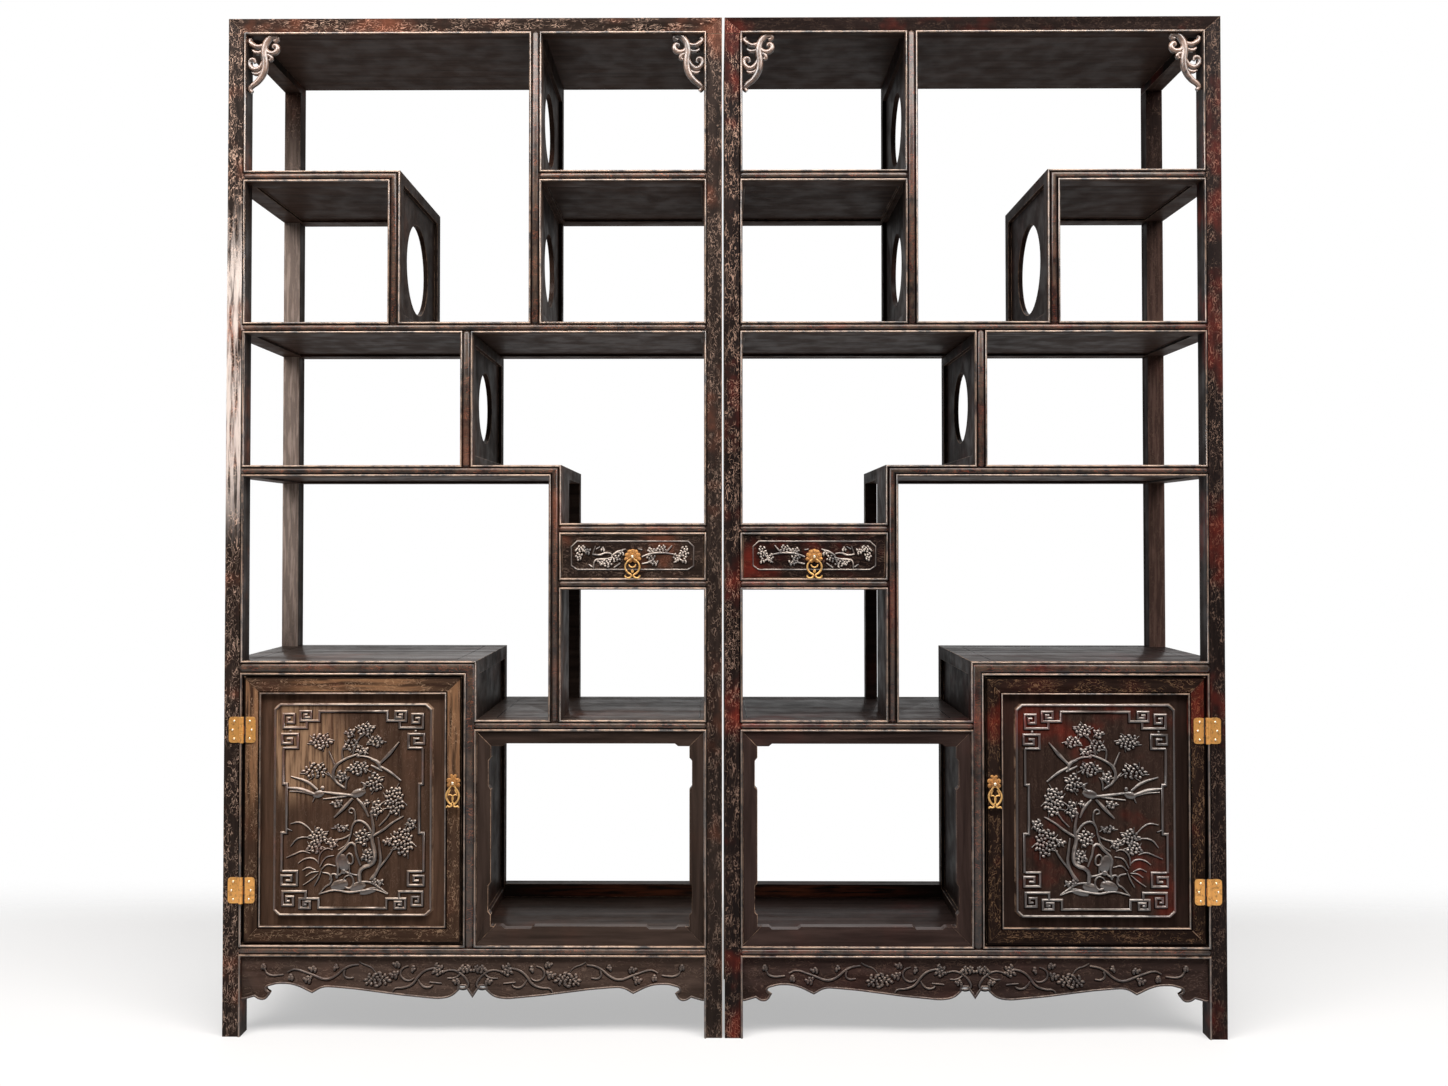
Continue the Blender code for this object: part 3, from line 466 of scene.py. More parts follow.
for cabinet in CABINETS:
    shelf_finish = lacquered(f"{cabinet}_shelf_lacquer", cabinet, LEVEL_GRAIN, **FRAME_WEAR,
                             lift=FRAME_LIFT)
    divider_finish = lacquered(f"{cabinet}_divider_lacquer", cabinet, UPRIGHT_GRAIN, **FRAME_WEAR,
                               lift=FRAME_LIFT)
    for kind in LEVEL_PIECES:
        level_finish = shelf_finish
        if f"{cabinet}_{kind}" in SHELF_POLISH:
            level_finish = lacquered(f"{cabinet}_{kind}_lacquer", cabinet, LEVEL_GRAIN, **FRAME_WEAR,
                                     lift=FRAME_LIFT, polish=SHELF_POLISH[f"{cabinet}_{kind}"])
        softened_node(f"{cabinet}_{kind}", level_finish, "cabinets")
    for kind in UPRIGHT_PIECES:
        softened_node(f"{cabinet}_{kind}", divider_finish, "cabinets")
    hand = -1 if cabinet == "left" else 1
    red_stop = {"centre": (hand * STOP_PLACE[0], *STOP_PLACE[1:]), "reach": STOP_REACH, "amount": 1.0,
                "colour": STOP_RED}
    floor_finish = lacquered(f"{cabinet}_floor_lacquer", cabinet, LEVEL_GRAIN, **FRAME_WEAR,
                             lift=FLOOR_LIFT[cabinet], worn=red_stop, polish=BAY_POLISH)
    softened_node(f"{cabinet}_floor_frame", floor_finish, "cabinets")
    bay_finishes = [lacquered(f"{cabinet}_bay_{way}_lacquer", cabinet, grain, redness=0.1, edge_rub=0.8,
                              lift=BAY_LIFT[cabinet])
                    for way, grain in (("upright", UPRIGHT_GRAIN), ("level", LEVEL_GRAIN))]
    make_piece(f"{cabinet}_bay_frame_wood", mitred_frame(f"{cabinet}_bay_frame"), bay_finishes, "cabinets",
               (f"{cabinet}_bay_frame",))

# Cupboard boards
# Plain thin boards that close the back and the outer side of the cupboard, tongued into the posts.
BOARD_LIFT = 3.2
for cabinet in CABINETS:
    board_finish = lacquered(f"{cabinet}_board_lacquer", cabinet, UPRIGHT_GRAIN, redness=0.1, edge_rub=0.2,
                             lift=BOARD_LIFT)
    for kind in ("cupboard_back", "cupboard_side"):
        softened_node(f"{cabinet}_{kind}", board_finish, "cabinets")

# Front mouldings
# A bead runs round every opening, mitred at its corners, and a broad rounded band runs along each
# rail and stile between the beads, pointed where it dies into the next member. Rubbed pale on the crests,
# with a painted highlight on upward faces, painted shade on downward faces and a dark ring of painted shade
# outside each bead.
BEAD_W = 0.0037
BEAD_RUB_AND_HIGHLIGHT = {"left": 0.62, "right": 0.50}
BEAD_H = 0.0026
BEAD_IN = 0.0024
BAND_H = 0.0028
BAND_EDGE = 0.0064
# Quirks: flat dark rings of painted shade just outside each bead.
QUIRK_W = 0.0022
QUIRK_H = 0.0003
QUIRK_SHADE_FINISH = {"redness": 0.1, "gloss": 0.0, "lift": 0.35}
BOARD_LINE = (0.0026, 0.0003)
BOARD_LINE_IN = (0.044, 0.030)
LET_IN = 0.0006
RUBBED_GLOSS = 0.8
RUBBED_ROUGHNESS = 0.34
WAXED_ROUGHNESS = 0.22
# Painted highlight on the upward faces of relief, and painted shade on its downward faces.
PAINTED_HIGHLIGHT_ABOVE = 1.9
PAINTED_SHADE_BENEATH = 1.1
PAINTED_SHADE_COLOUR = (0.0035, 0.0026, 0.0022, 1.0)
ROUND_STEPS = 6
DOOR_CLEARANCE = 0.0015
TIGHTEST = 0.35
FACE_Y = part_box("left_post_front_outer")[0].y
HALF_PAIR = cad_box[1][0]


def half_round(width, height):
    """A half-round section as a closed loop: across, and out from the face."""
    turns = [math.pi * step / ROUND_STEPS for step in range(ROUND_STEPS + 1)]
    arc = [(-width / 2 * math.cos(turn), height * math.sin(turn)) for turn in turns]
    return arc + [(width / 2, -LET_IN), (-width / 2, -LET_IN)]


def mitre_at(path, number, closed):
    """How far and which way one unit across a moulding goes at a point of its path."""
    points = [Vector((x, z)) for x, z, size in path]
    last = len(points) - 1
    into = points[number] - points[number - 1] if number or closed else None
    away = points[(number + 1) % len(points)] - points[number] if number < last or closed else None
    into, away = (into or away).normalized(), (away or into).normalized()
    across_in, across_out = Vector((-into.y, into.x)), Vector((-away.y, away.x))
    return (across_in + across_out) / max(1.0 + across_in.dot(across_out), TIGHTEST)


def sweep(bm, path, section, face_y, closed=False):
    """Draws a section along a path of (x, z) or (x, z, size) in the front plane, mitred at the corners."""
    path = [(*point, 1.0)[:3] for point in path]
    stations = []
    for number, (x, z, size) in enumerate(path):
        across = mitre_at(path, number, closed)
        stations.append([(x + across.x * side * size, face_y - out * (size if out > 0 else 1.0),
                          z + across.y * side * size) for side, out in section])
    loop = [bm.verts.new(place) for place in stations[0]]
    edges = [bm.edges.new((vert, loop[number - 1])) for number, vert in enumerate(loop)]
    ends = list(edges)
    for station in stations[1:] + stations[:1] * closed:
        drawn = bmesh.ops.extrude_edge_only(bm, edges=edges)["geom"]
        made = {item for item in drawn if isinstance(item, bmesh.types.BMVert)}
        edges = [item for item in drawn if isinstance(item, bmesh.types.BMEdge)
                 and set(item.verts) <= made]
        loop = [next(edge.other_vert(vert) for edge in vert.link_edges if edge.other_vert(vert) in made)
                for vert in loop]
        for vert, place in zip(loop, station):
            vert.co = place
    return [] if closed else ends + edges


def close_up(bm, ends):
    """Caps open ends, merges what meets and turns all faces outwards."""
    if ends:
        bmesh.ops.holes_fill(bm, edges=ends, sides=0)
    bmesh.ops.remove_doubles(bm, verts=bm.verts, dist=MERGE / 5)
    bmesh.ops.recalc_face_normals(bm, faces=bm.faces)


def outset(corners, distance):
    """The corners of a square-cornered opening, moved out into the wood; they run anticlockwise."""
    moved = []
    for number, (u, z) in enumerate(corners):
        before, after = corners[number - 1], corners[(number + 1) % len(corners)]
        shift = Vector((0.0, 0.0))
        for start, stop in ((before, (u, z)), ((u, z), after)):
            along = (Vector(stop) - Vector(start)).normalized()
            shift += distance * Vector((along.y, -along.x))
        moved.append((u + shift.x, z + shift.y))
    return moved


def pointed(path, half):
    """Adds a point at both ends of a band's path, as long as the band is half wide."""
    first, second = Vector(path[0]), Vector(path[1])
    last, before = Vector(path[-1]), Vector(path[-2])
    start = first + (first - second).normalized() * half
    stop = last + (last - before).normalized() * half
    return [(*start, 0.0)] + [(*point, 1.0) for point in path] + [(*stop, 0.0)]


class Layout:
    """Where the members of one cabinet lie on its front, u from the outer side inwards."""

    def __init__(self, cabinet):
        self.hand = -1 if cabinet == "left" else 1
        box = {kind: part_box(f"{cabinet}_{kind}") for kind in
               ("top_frame", "box_step", "upper_divider", "shelf_upper", "shelf_main", "middle_divider",
                "drawer_step", "drawer_case", "shelf_lower", "cupboard_step", "floor_frame", "door_frame",
                "post_front_outer")}
        far = {kind: max(self.u(low.x), self.u(high.x)) for kind, (low, high) in box.items()}
        near = {kind: min(self.u(low.x), self.u(high.x)) for kind, (low, high) in box.items()}
        stile = far["middle_divider"] - near["middle_divider"]
        rail = box["shelf_main"][1].z - box["shelf_main"][0].z
        self.post = far["post_front_outer"]
        self.inner = far["top_frame"] - self.post
        self.upper = (near["upper_divider"], far["upper_divider"])
        self.middle = (near["middle_divider"], far["middle_divider"])
        self.box = (far["box_step"] - stile, far["box_step"])
        self.step = (far["drawer_step"] - stile, far["drawer_step"])
        self.partition = (far["cupboard_step"] - stile, far["cupboard_step"])
        self.top = (box["top_frame"][0].z, box["top_frame"][1].z)
        self.box_rail = (box["box_step"][1].z - rail, box["box_step"][1].z)
        self.upper_shelf = (box["shelf_upper"][0].z, box["shelf_upper"][1].z)
        self.main_shelf = (box["shelf_main"][0].z, box["shelf_main"][1].z)
        self.step_rail = (box["drawer_step"][1].z - rail, box["drawer_step"][1].z)
        self.case_top = (box["drawer_case"][1].z - rail, box["drawer_case"][1].z)
        self.case_floor = (box["drawer_case"][0].z, box["drawer_case"][0].z + rail)
        self.lower_shelf = (box["shelf_lower"][0].z, box["shelf_lower"][1].z)
        self.cupboard_top = (box["door_frame"][1].z + DOOR_CLEARANCE, box["cupboard_step"][1].z)
        self.floor = (box["floor_frame"][0].z, box["floor_frame"][0].z + rail)

    def u(self, x):
        """How far a place lies in from the outer side."""
        return HALF_PAIR - self.hand * x

    def x(self, u):
        """The place that lies so far in from the outer side."""
        return self.hand * (HALF_PAIR - u)

    def openings(self):
        """The corners of every opening in the front, anticlockwise in u and z."""
        def square(u0, u1, z0, z1):
            return [(u0, z0), (u1, z0), (u1, z1), (u0, z1)]

        post, inner = self.post, self.inner
        upper, middle, box, step, partition = self.upper, self.middle, self.box, self.step, self.partition
        box_rail, main, lower, case = self.box_rail, self.main_shelf, self.lower_shelf, self.case_top
        rail, cupboard, ceiling = self.step_rail, self.cupboard_top, self.top[0]
        return [
            [(post, box_rail[1]), (box[1], box_rail[1]), (box[1], main[1]), (upper[0], main[1]),
             (upper[0], ceiling), (post, ceiling)],
            square(post, box[0], main[1], box_rail[0]),
            square(upper[1], inner, self.upper_shelf[1], ceiling),
            square(upper[1], inner, main[1], self.upper_shelf[0]),
            square(post, middle[0], rail[1], main[0]),
            [(middle[1], rail[1]), (step[1], rail[1]), (step[1], case[1]), (inner, case[1]),
             (inner, main[0]), (middle[1], main[0])],
            square(step[1], inner, self.case_floor[1], case[0]),
            square(step[1], inner, lower[1], self.case_floor[0]),
            [(post, cupboard[1]), (partition[1], cupboard[1]), (partition[1], lower[1]), (step[0], lower[1]),
             (step[0], rail[0]), (post, rail[0])],
            square(post, partition[0], self.floor[1], cupboard[0]),
            square(partition[1], inner, self.floor[1], lower[0])]

    def bands(self):
        """The middle lines of the rounded bands, with their half widths."""
        def level(heights, u0, u1):
            z = sum(heights) / 2
            return [(u0, z), (u1, z)], (heights[1] - heights[0]) / 2 - BAND_EDGE

        def upright(sides, z0, z1):
            u = sum(sides) / 2
            return [(u, z0), (u, z1)], (sides[1] - sides[0]) / 2 - BAND_EDGE

        def turned(heights, sides, z0):
            u, z = sum(sides) / 2, sum(heights) / 2
            return [(self.post, z), (u, z), (u, z0)], (heights[1] - heights[0]) / 2 - BAND_EDGE

        return [turned(self.box_rail, self.box, self.main_shelf[1]),
                level(self.upper_shelf, self.upper[1], self.inner),
                level(self.main_shelf, self.post, self.inner),
                upright(self.upper, self.main_shelf[1], self.top[0]),
                upright(self.middle, self.step_rail[1], self.main_shelf[0]),
                turned(self.step_rail, self.step, self.lower_shelf[1]),
                level(self.case_top, self.step[1], self.inner),
                level(self.case_floor, self.step[1], self.inner),
                level(self.lower_shelf, self.partition[1], self.inner),
                turned(self.cupboard_top, self.partition, self.floor[1]),
                level(self.floor, self.post, self.inner)]


def worn_relief_with_painted_light(name, cabinet, face_y, rise, redness, rub_and_highlight, lift=1.0, tan=RUBBED_AND_HIGHLIGHT_TAN, start=0.45,
                  gloss=RUBBED_GLOSS, crackle=0.0, wood=LACQUER_BLACK):
    """Wood worked in relief: rubbed pale where it stands out from the face, with a painted highlight on
    upward faces and painted shade on downward faces.
    """
    material, tree, shader = start_material(name)
    place = object_place(tree)
    ground = lacquer_on(tree, cabinet, LEVEL_GRAIN, wood, lift, redness)
    crest = remap(tree, axis_of(tree, place, "Y"), face_y - start * rise, face_y - rise)
    wear = wear_by_height(tree, place)
    upward = face_mask(tree, SKYWARD)
    beneath = face_mask(tree, HIDDEN)
    # Pale: real wear on the crests, plus a painted highlight on upward faces.
    worn_crest_and_painted_highlight = maths(tree, "ADD", maths(tree, "MULTIPLY", crest, wear),
                    maths(tree, "MULTIPLY", upward, PAINTED_HIGHLIGHT_ABOVE))
    rubbed = use(tree, RUB, {"Place": place, "Edge": worn_crest_and_painted_highlight, "Amount": rub_and_highlight})["Mask"]
    # Painted shade on downward faces.
    painted_shade_mask = maths(tree, "MULTIPLY", beneath, PAINTED_SHADE_BENEATH, True)
    colour = blend_colours(tree, painted_shade_mask, ground["Colour"], PAINTED_SHADE_COLOUR)
    if crackle:
        lines = use(tree, CRACKLE, {"Place": stretched(tree, LEVEL_CRACKS), "Scale": CRACKLE_SCALE,
                                    "Amount": crackle})["Mask"]
        colour = blend_colours(tree, lines, colour, CRACKLE_RED[cabinet])
    colour = blend_colours(tree, rubbed, colour, tan)
    tree.links.new(colour, shader.inputs["Base Color"])
    shader.inputs["Roughness"].default_value = RUBBED_ROUGHNESS
    shader.inputs["Specular IOR Level"].default_value = gloss
    shader.inputs["Coat Weight"].default_value = gloss
    shader.inputs["Coat Roughness"].default_value = WAXED_ROUGHNESS
    return material


def board_line(bm, node):
    """Adds the joint on a shelf's top where its board meets the frame round it."""
    low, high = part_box(node)
    across, deep = BOARD_LINE_IN
    ring = [(low.x + across, low.y + deep), (high.x - across, low.y + deep),
            (high.x - across, high.y - deep), (low.x + across, high.y - deep)]
    line = bmesh.new()
    sweep(line, ring, half_round(*BOARD_LINE), 0.0, True)
    close_up(line, [])
    lie = Matrix.Translation((0.0, 0.0, high.z)) @ Matrix.Rotation(-math.pi / 2, 4, "X")
    bmesh.ops.transform(line, matrix=lie, verts=line.verts)
    add_to(bm, line)


LAYOUTS = {cabinet: Layout(cabinet) for cabinet in CABINETS}
for cabinet, layout in LAYOUTS.items():
    beads = bmesh.new()
    bands = bmesh.new()
    for corners in layout.openings():
        ring = outset(corners, BEAD_IN)
        sweep(beads, [(layout.x(u), z) for u, z in ring], half_round(BEAD_W, BEAD_H), FACE_Y, True)
    low = [(layout.post - BEAD_IN, 0.0), (layout.post - BEAD_IN, layout.floor[0] + BEAD_IN),
           (layout.inner + BEAD_IN, layout.floor[0] + BEAD_IN), (layout.inner + BEAD_IN, 0.0)]
    bead_ends = sweep(beads, [(layout.x(u), z) for u, z in low], half_round(BEAD_W, BEAD_H), FACE_Y)
    close_up(beads, bead_ends)
    for path, half in layout.bands():
        tipped = [(layout.x(u), z, size) for u, z, size in pointed(path, half)]
        sweep(bands, tipped, half_round(2 * half, BAND_H), FACE_Y)
    close_up(bands, [])
    bead_finish = worn_relief_with_painted_light(f"{cabinet}_bead_lacquer", cabinet, FACE_Y, BEAD_H,
                                redness=0.6, rub_and_highlight=BEAD_RUB_AND_HIGHLIGHT[cabinet], start=0.3)
    band_finish = worn_relief_with_painted_light(f"{cabinet}_band_lacquer", cabinet, FACE_Y, BAND_H,
                                redness=0.75, rub_and_highlight=0.14, gloss=0.28, crackle=0.30)
    # Painted shade: a flat dark ring outside each bead. The same dark finish draws the real board joints.
    quirk_shades = bmesh.new()
    for corners in layout.openings():
        ring = outset(corners, BEAD_IN + (BEAD_W + QUIRK_W) / 2)
        sweep(quirk_shades, [(layout.x(u), z) for u, z in ring], half_round(QUIRK_W, QUIRK_H), FACE_Y, True)
    close_up(quirk_shades, [])
    joint_and_quirk_shade_finish = lacquered(f"{cabinet}_joint_and_quirk_shade_lacquer", cabinet, LEVEL_GRAIN, **QUIRK_SHADE_FINISH)
    board_lines = bmesh.new()
    for kind in ("top_frame", "box_step", "shelf_upper", "shelf_main", "drawer_step", "shelf_lower",
                 "cupboard_step"):
        board_line(board_lines, f"{cabinet}_{kind}")
    make_piece(f"{cabinet}_board_lines", board_lines, [joint_and_quirk_shade_finish], "cabinets")
    make_piece(f"{cabinet}_quirks", quirk_shades, [joint_and_quirk_shade_finish], "cabinets")
    make_piece(f"{cabinet}_beads", beads, [bead_finish], "cabinets", smooth=ROUND_UNDER)
    make_piece(f"{cabinet}_bands", bands, [band_finish], "cabinets", smooth=ROUND_UNDER)

# Corner spandrels
# Small openwork scrolls, sawn and carved, that sit in the top corners under the top rail: a stem in
# an S with curls on both sides. Drawn in millimetres from the post and down from the rail.
MM = 0.001
SPANDREL_BACK = 0.009
SPANDREL_RISE = 0.008
SPANDREL_BOLD = 1.3
SPANDREL_TAN = (0.20, 0.124, 0.090, 1.0)
SPANDREL = (
    ([(51, 10), (57, 8), (57, 3), (49, 1), (39, 8), (32, 28), (34, 52), (31, 72), (19, 90), (8, 99),
      (4, 106), (9, 111)], (3.0, 5.9, 3.0)),
    ([(34, 15), (36, 29), (46, 34), (56, 30), (58, 22), (52, 18), (49, 23)], (4.1, 4.3, 2.4)),
    ([(33, 37), (42, 39), (46, 45), (42, 49)], (3.0, 3.8, 2.7)),
    ([(31, 18), (19, 21), (8, 16), (3, 9), (7, 5)], (3.5, 4.3, 2.4)),
    ([(31, 29), (17, 33), (9, 28)], (2.7, 3.5, 1.9)),
    ([(32, 46), (25, 60), (15, 66), (5, 61), (3, 50), (11, 46), (14, 53)], (3.2, 4.3, 2.4)),
    ([(28, 70), (17, 75), (8, 72)], (2.2, 3.2, 1.6)))


def swell(radii, share):
    """A radius that runs from the first to the last of three, through the middle one."""
    first, middle, last = radii
    if share < 0.5:
        return first + (middle - first) * 2.0 * share
    return middle + (last - middle) * (2.0 * share - 1.0)


def carve_strokes(bm, strokes, place, steps=4, sides=1):
    """Adds carved strokes: smooth lines through points, as round ridges that swell and taper."""
    curve = bpy.data.curves.new("strokes", "CURVE")
    curve.dimensions = "3D"
    curve.bevel_depth = 1.0
    curve.bevel_resolution = sides
    curve.resolution_u = steps
    curve.use_fill_caps = True
    for points, radii in strokes:
        spline = curve.splines.new("BEZIER")
        spline.bezier_points.add(len(points) - 1)
        for number, knot in enumerate(spline.bezier_points):
            knot.co = place(*points[number])
            knot.radius = swell(radii, number / (len(points) - 1)) * MM
            knot.handle_left_type = "AUTO"
            knot.handle_right_type = "AUTO"
    holder = bpy.data.objects.new("strokes", curve)
    bpy.context.scene.collection.objects.link(holder)
    bpy.context.view_layer.update()
    drawn = bpy.data.meshes.new_from_object(holder.evaluated_get(bpy.context.evaluated_depsgraph_get()))
    bm.from_mesh(drawn)
    bpy.data.meshes.remove(drawn)
    bpy.data.objects.remove(holder)
    bpy.data.curves.remove(curve)


for cabinet, layout in LAYOUTS.items():
    scroll_finish = worn_relief_with_painted_light(f"{cabinet}_spandrel_lacquer", cabinet,
                                  FACE_Y + SPANDREL_BACK + SPANDREL_RISE / 2, SPANDREL_RISE,
                                  redness=0.5, rub_and_highlight=0.9, lift=2.0, tan=SPANDREL_TAN, start=0.1)
    for side, edge, inward in (("outer", layout.post, 1), ("inner", layout.inner, -1)):
        scrolls = bmesh.new()

        def on_corner(along, drop):
            return Vector((layout.x(edge + inward * along * MM), FACE_Y + SPANDREL_BACK,
                           layout.top[0] - drop * MM))

        bold = [(points, [SPANDREL_BOLD * radius for radius in radii]) for points, radii in SPANDREL]
        carve_strokes(scrolls, bold, on_corner, steps=5, sides=2)
        close_up(scrolls, [])
        make_piece(f"{cabinet}_spandrel_{side}", scrolls, [scroll_finish], "cabinets",
                   smooth=ROUND_UNDER)

# Apron
# A scalloped board under the floor rail. A bead follows its lower edge, and vines with leaves and
# blossoms run in from both ends to the middle. Drawn on a grid, across from the post and down.
CARVED_LIFT = 2.2
APRON_LIFT = {"left": 3.6, "right": 3.6}
VINE_LIFT = 2.7
VINE_RISE = 0.0040
VINE_TAN = (0.47, 0.34, 0.26, 1.0)
CARVED_TAN = (0.58, 0.47, 0.39, 1.0)
APRON_GRID = 0.00313
APRON_ORIGIN = (9.5, 4.5)
APRON_BEAD_W = 0.0040
APRON_BEAD_H = 0.0018
APRON_VINES = (
    ([(21.5, 11.5), (24, 13), (25, 15), (28, 16.5), (32, 16.5), (35.5, 16)], (1.0, 2.4, 1.6)),
    ([(38, 14.5), (42, 12.8), (49, 14.5), (54.5, 16.5), (62, 18.8), (68, 16.5), (71.5, 13.5), (76, 10.8),
      (82, 9.7)], (1.6, 2.8, 2.0)),
    ([(73.5, 13), (73, 16), (75, 18), (79, 17.8)], (2.2, 2.4, 1.6)),
    ([(82.5, 8), (85, 9.5), (90, 11.5), (93, 15)], (1.4, 1.8, 1.2)),
    ([(113, 10.5), (109.5, 12), (108, 15), (110, 18.5), (114, 19.5), (116.5, 18)], (1.4, 2.4, 1.4)),
    ([(103, 26.5), (104.5, 24.5), (109, 24), (114, 22.5), (116.5, 20.5), (119, 17), (123, 13.5),
      (129, 11.8), (134, 11.5)], (1.4, 2.8, 2.0)),
    ([(119, 19), (120.5, 21.5), (123, 23.5), (127, 23.2), (128, 22.2)], (1.8, 2.4, 1.4)),
    ([(126, 20.5), (133.5, 21.2)], (1.6, 1.8, 1.6)),
    ([(134.5, 14), (140, 13), (145, 15), (149, 19), (150, 22.5), (147, 24.3), (144, 24)], (1.6, 2.6, 1.6)),
    ([(137, 18), (141, 18), (144, 16.5), (146, 14)], (1.6, 2.0, 1.2)))
APRON_CLUSTERS = ((23, 11, 1.6, 1.2, 4), (40, 17.5, 1.6, 1.4, 4), (50.5, 19, 2.4, 2.2, 6),
                  (54, 12.5, 2.4, 1.4, 5), (68, 11.5, 1.4, 1.4, 3), (93.5, 19, 8.0, 4.2, 24),
                  (106, 9.5, 2.2, 1.4, 5), (104, 16, 2.6, 2.2, 6), (116, 12.5, 1.0, 1.6, 3),
                  (131.5, 12.8, 3.2, 4.0, 10), (148, 12.5, 4.4, 2.2, 11), (143, 20, 2.2, 1.6, 5))
BERRY = 1.25
BERRY_RISE = 0.9
BERRY_LONG = 1.35
BERRY_NARROW = 0.8
TURN = math.pi * (3.0 - math.sqrt(5.0))
# Painted shadow round carving: how far it reaches past the carving, how far it is shifted, how flat it lies.
SHADOW_W = 0.85
SHADOW_DROP = (0.22, 0.42)
SHADOW_FLAT = 0.10
SHADOW_FINISH = {"redness": 0.1, "gloss": 0.0, "lift": 0.32}


def dome_shape():
    """The points and faces of a ball with few facets, flat side on."""
    ball = bmesh.new()
    bmesh.ops.create_uvsphere(ball, u_segments=8, v_segments=5, radius=1.0)
    ball.verts.index_update()
    points = [tuple(vert.co) for vert in ball.verts]
    faces = [[vert.index for vert in face.verts] for face in ball.faces]
    ball.free()
    return points, faces


DOME = dome_shape()


def carve_dome(bm, centre, length, width, rise, towards=None):
    """Adds a low dome that lies level, or towards a point, for a leaf, petal, body or stud."""
    lie = math.atan2(towards.z - centre.z, towards.x - centre.x) if towards else 0.0
    turn = Matrix.Rotation(-lie, 3, "Y")
    verts = [bm.verts.new(centre + turn @ Vector((length * x, rise * y, width * z))) for x, y, z in DOME[0]]
    for face in DOME[1]:
        bm.faces.new([verts[number] for number in face])


def carve_clusters(bm, clusters, place, grid, berry=BERRY):
    """Adds clusters of blossoms: small domes packed into ovals, alternately round and leaf-shaped."""
    for middle, drop, wide, high, count in clusters:
        for number in range(count):
            turn, out = number * TURN, math.sqrt((number + 0.5) / count)
            across, down = middle + wide * out * math.cos(turn), drop + high * out * math.sin(turn)
            centre = place(across, down)
            towards = place(across + math.cos(2.0 * turn), down + math.sin(2.0 * turn))
            length = berry * (BERRY_LONG if number % 2 else 1.0) * grid
            carve_dome(bm, centre, length, BERRY_NARROW * berry * grid, BERRY_RISE * berry * grid, towards)


def painted_shadow_sheet(strokes, clusters, place, grid, face_y, berry=BERRY):
    """A painted shadow round carving: its strokes and clusters again, as a dark sheet that is wider, flat
    and shifted down and across.
    """
    ground = bmesh.new()

    def beneath(across, down):
        spot = place(across + SHADOW_DROP[0], down + SHADOW_DROP[1])
        return Vector((spot.x, face_y, spot.z))

    carve_strokes(ground, [(points, [radius + SHADOW_W for radius in radii]) for points, radii in strokes],
                  beneath, steps=3)
    carve_clusters(ground, clusters, beneath, grid, berry + SHADOW_W * MM / grid)
    bmesh.ops.scale(ground, vec=(1.0, SHADOW_FLAT, 1.0), space=Matrix.Translation((0.0, -face_y, 0.0)),
                    verts=ground.verts)
    return ground


def lower_edge(node, above):
    """The points of a board's front face that lie under a height, in order along its lower edge."""
    bm = merged_copy(node)
    front = max((face for face in bm.faces if face.normal.y < -0.99), key=lambda face: face.calc_area())
    points = [(loop.vert.co.x, loop.vert.co.z) for loop in front.loops]
    face_y = front.verts[0].co.y
    bm.free()
    start = next(number for number, (x, z) in enumerate(points)
                 if z < above and points[number - 1][1] >= above)
    turned = points[start:] + points[:start]
    return [point for point in turned if point[1] < above], face_y


for cabinet, layout in LAYOUTS.items():
    edge, apron_y = lower_edge(f"{cabinet}_apron", layout.floor[0] - APRON_BEAD_W)
    vines = bmesh.new()
    if sum((b[0] - a[0]) for a, b in zip(edge, edge[1:])) < 0.0:
        edge.reverse()
    edge = [(x, z + APRON_BEAD_W / 2) for x, z in edge]
    vine_ends = sweep(vines, edge, half_round(APRON_BEAD_W, APRON_BEAD_H), apron_y)
    close_up(vines, vine_ends)
    shadow_sheets = []
    for inward, start_u in ((1, layout.post), (-1, layout.inner)):

        def on_apron(across, down):
            return Vector((layout.x(start_u + inward * (across - APRON_ORIGIN[0]) * APRON_GRID), apron_y,
                           layout.floor[0] - (down - APRON_ORIGIN[1]) * APRON_GRID))

        carve_strokes(vines, APRON_VINES, on_apron, steps=3)
        carve_clusters(vines, APRON_CLUSTERS, on_apron, APRON_GRID)
        # Painted shadow under the vines and blossoms, on a flat dark sheet.
        shadow_sheets.append(painted_shadow_sheet(APRON_VINES, APRON_CLUSTERS, on_apron, APRON_GRID, apron_y))
    vine_finish = worn_relief_with_painted_light(f"{cabinet}_vine_lacquer", cabinet, apron_y, VINE_RISE,
                                redness=0.15, rub_and_highlight=0.24, lift=VINE_LIFT, tan=VINE_TAN, start=0.6,
                                gloss=0.32)
    make_piece(f"{cabinet}_apron_carving", vines, [vine_finish], "cabinets",
               smooth=ROUND_UNDER)
    shadow_finish = lacquered(f"{cabinet}_painted_shadow_lacquer", cabinet, LEVEL_GRAIN, **SHADOW_FINISH)
    for end, ground in zip(("outer", "inner"), shadow_sheets):
        make_piece(f"{cabinet}_apron_painted_shadow_{end}", ground, [shadow_finish], "cabinets")
    apron_finish = lacquered(f"{cabinet}_apron_lacquer", cabinet, LEVEL_GRAIN, LEVEL_CRACKS, crackle=0.25,
                             redness=0.1, edge_rub=0.6, lift=APRON_LIFT[cabinet])
    softened_node(f"{cabinet}_apron", apron_finish, "cabinets")

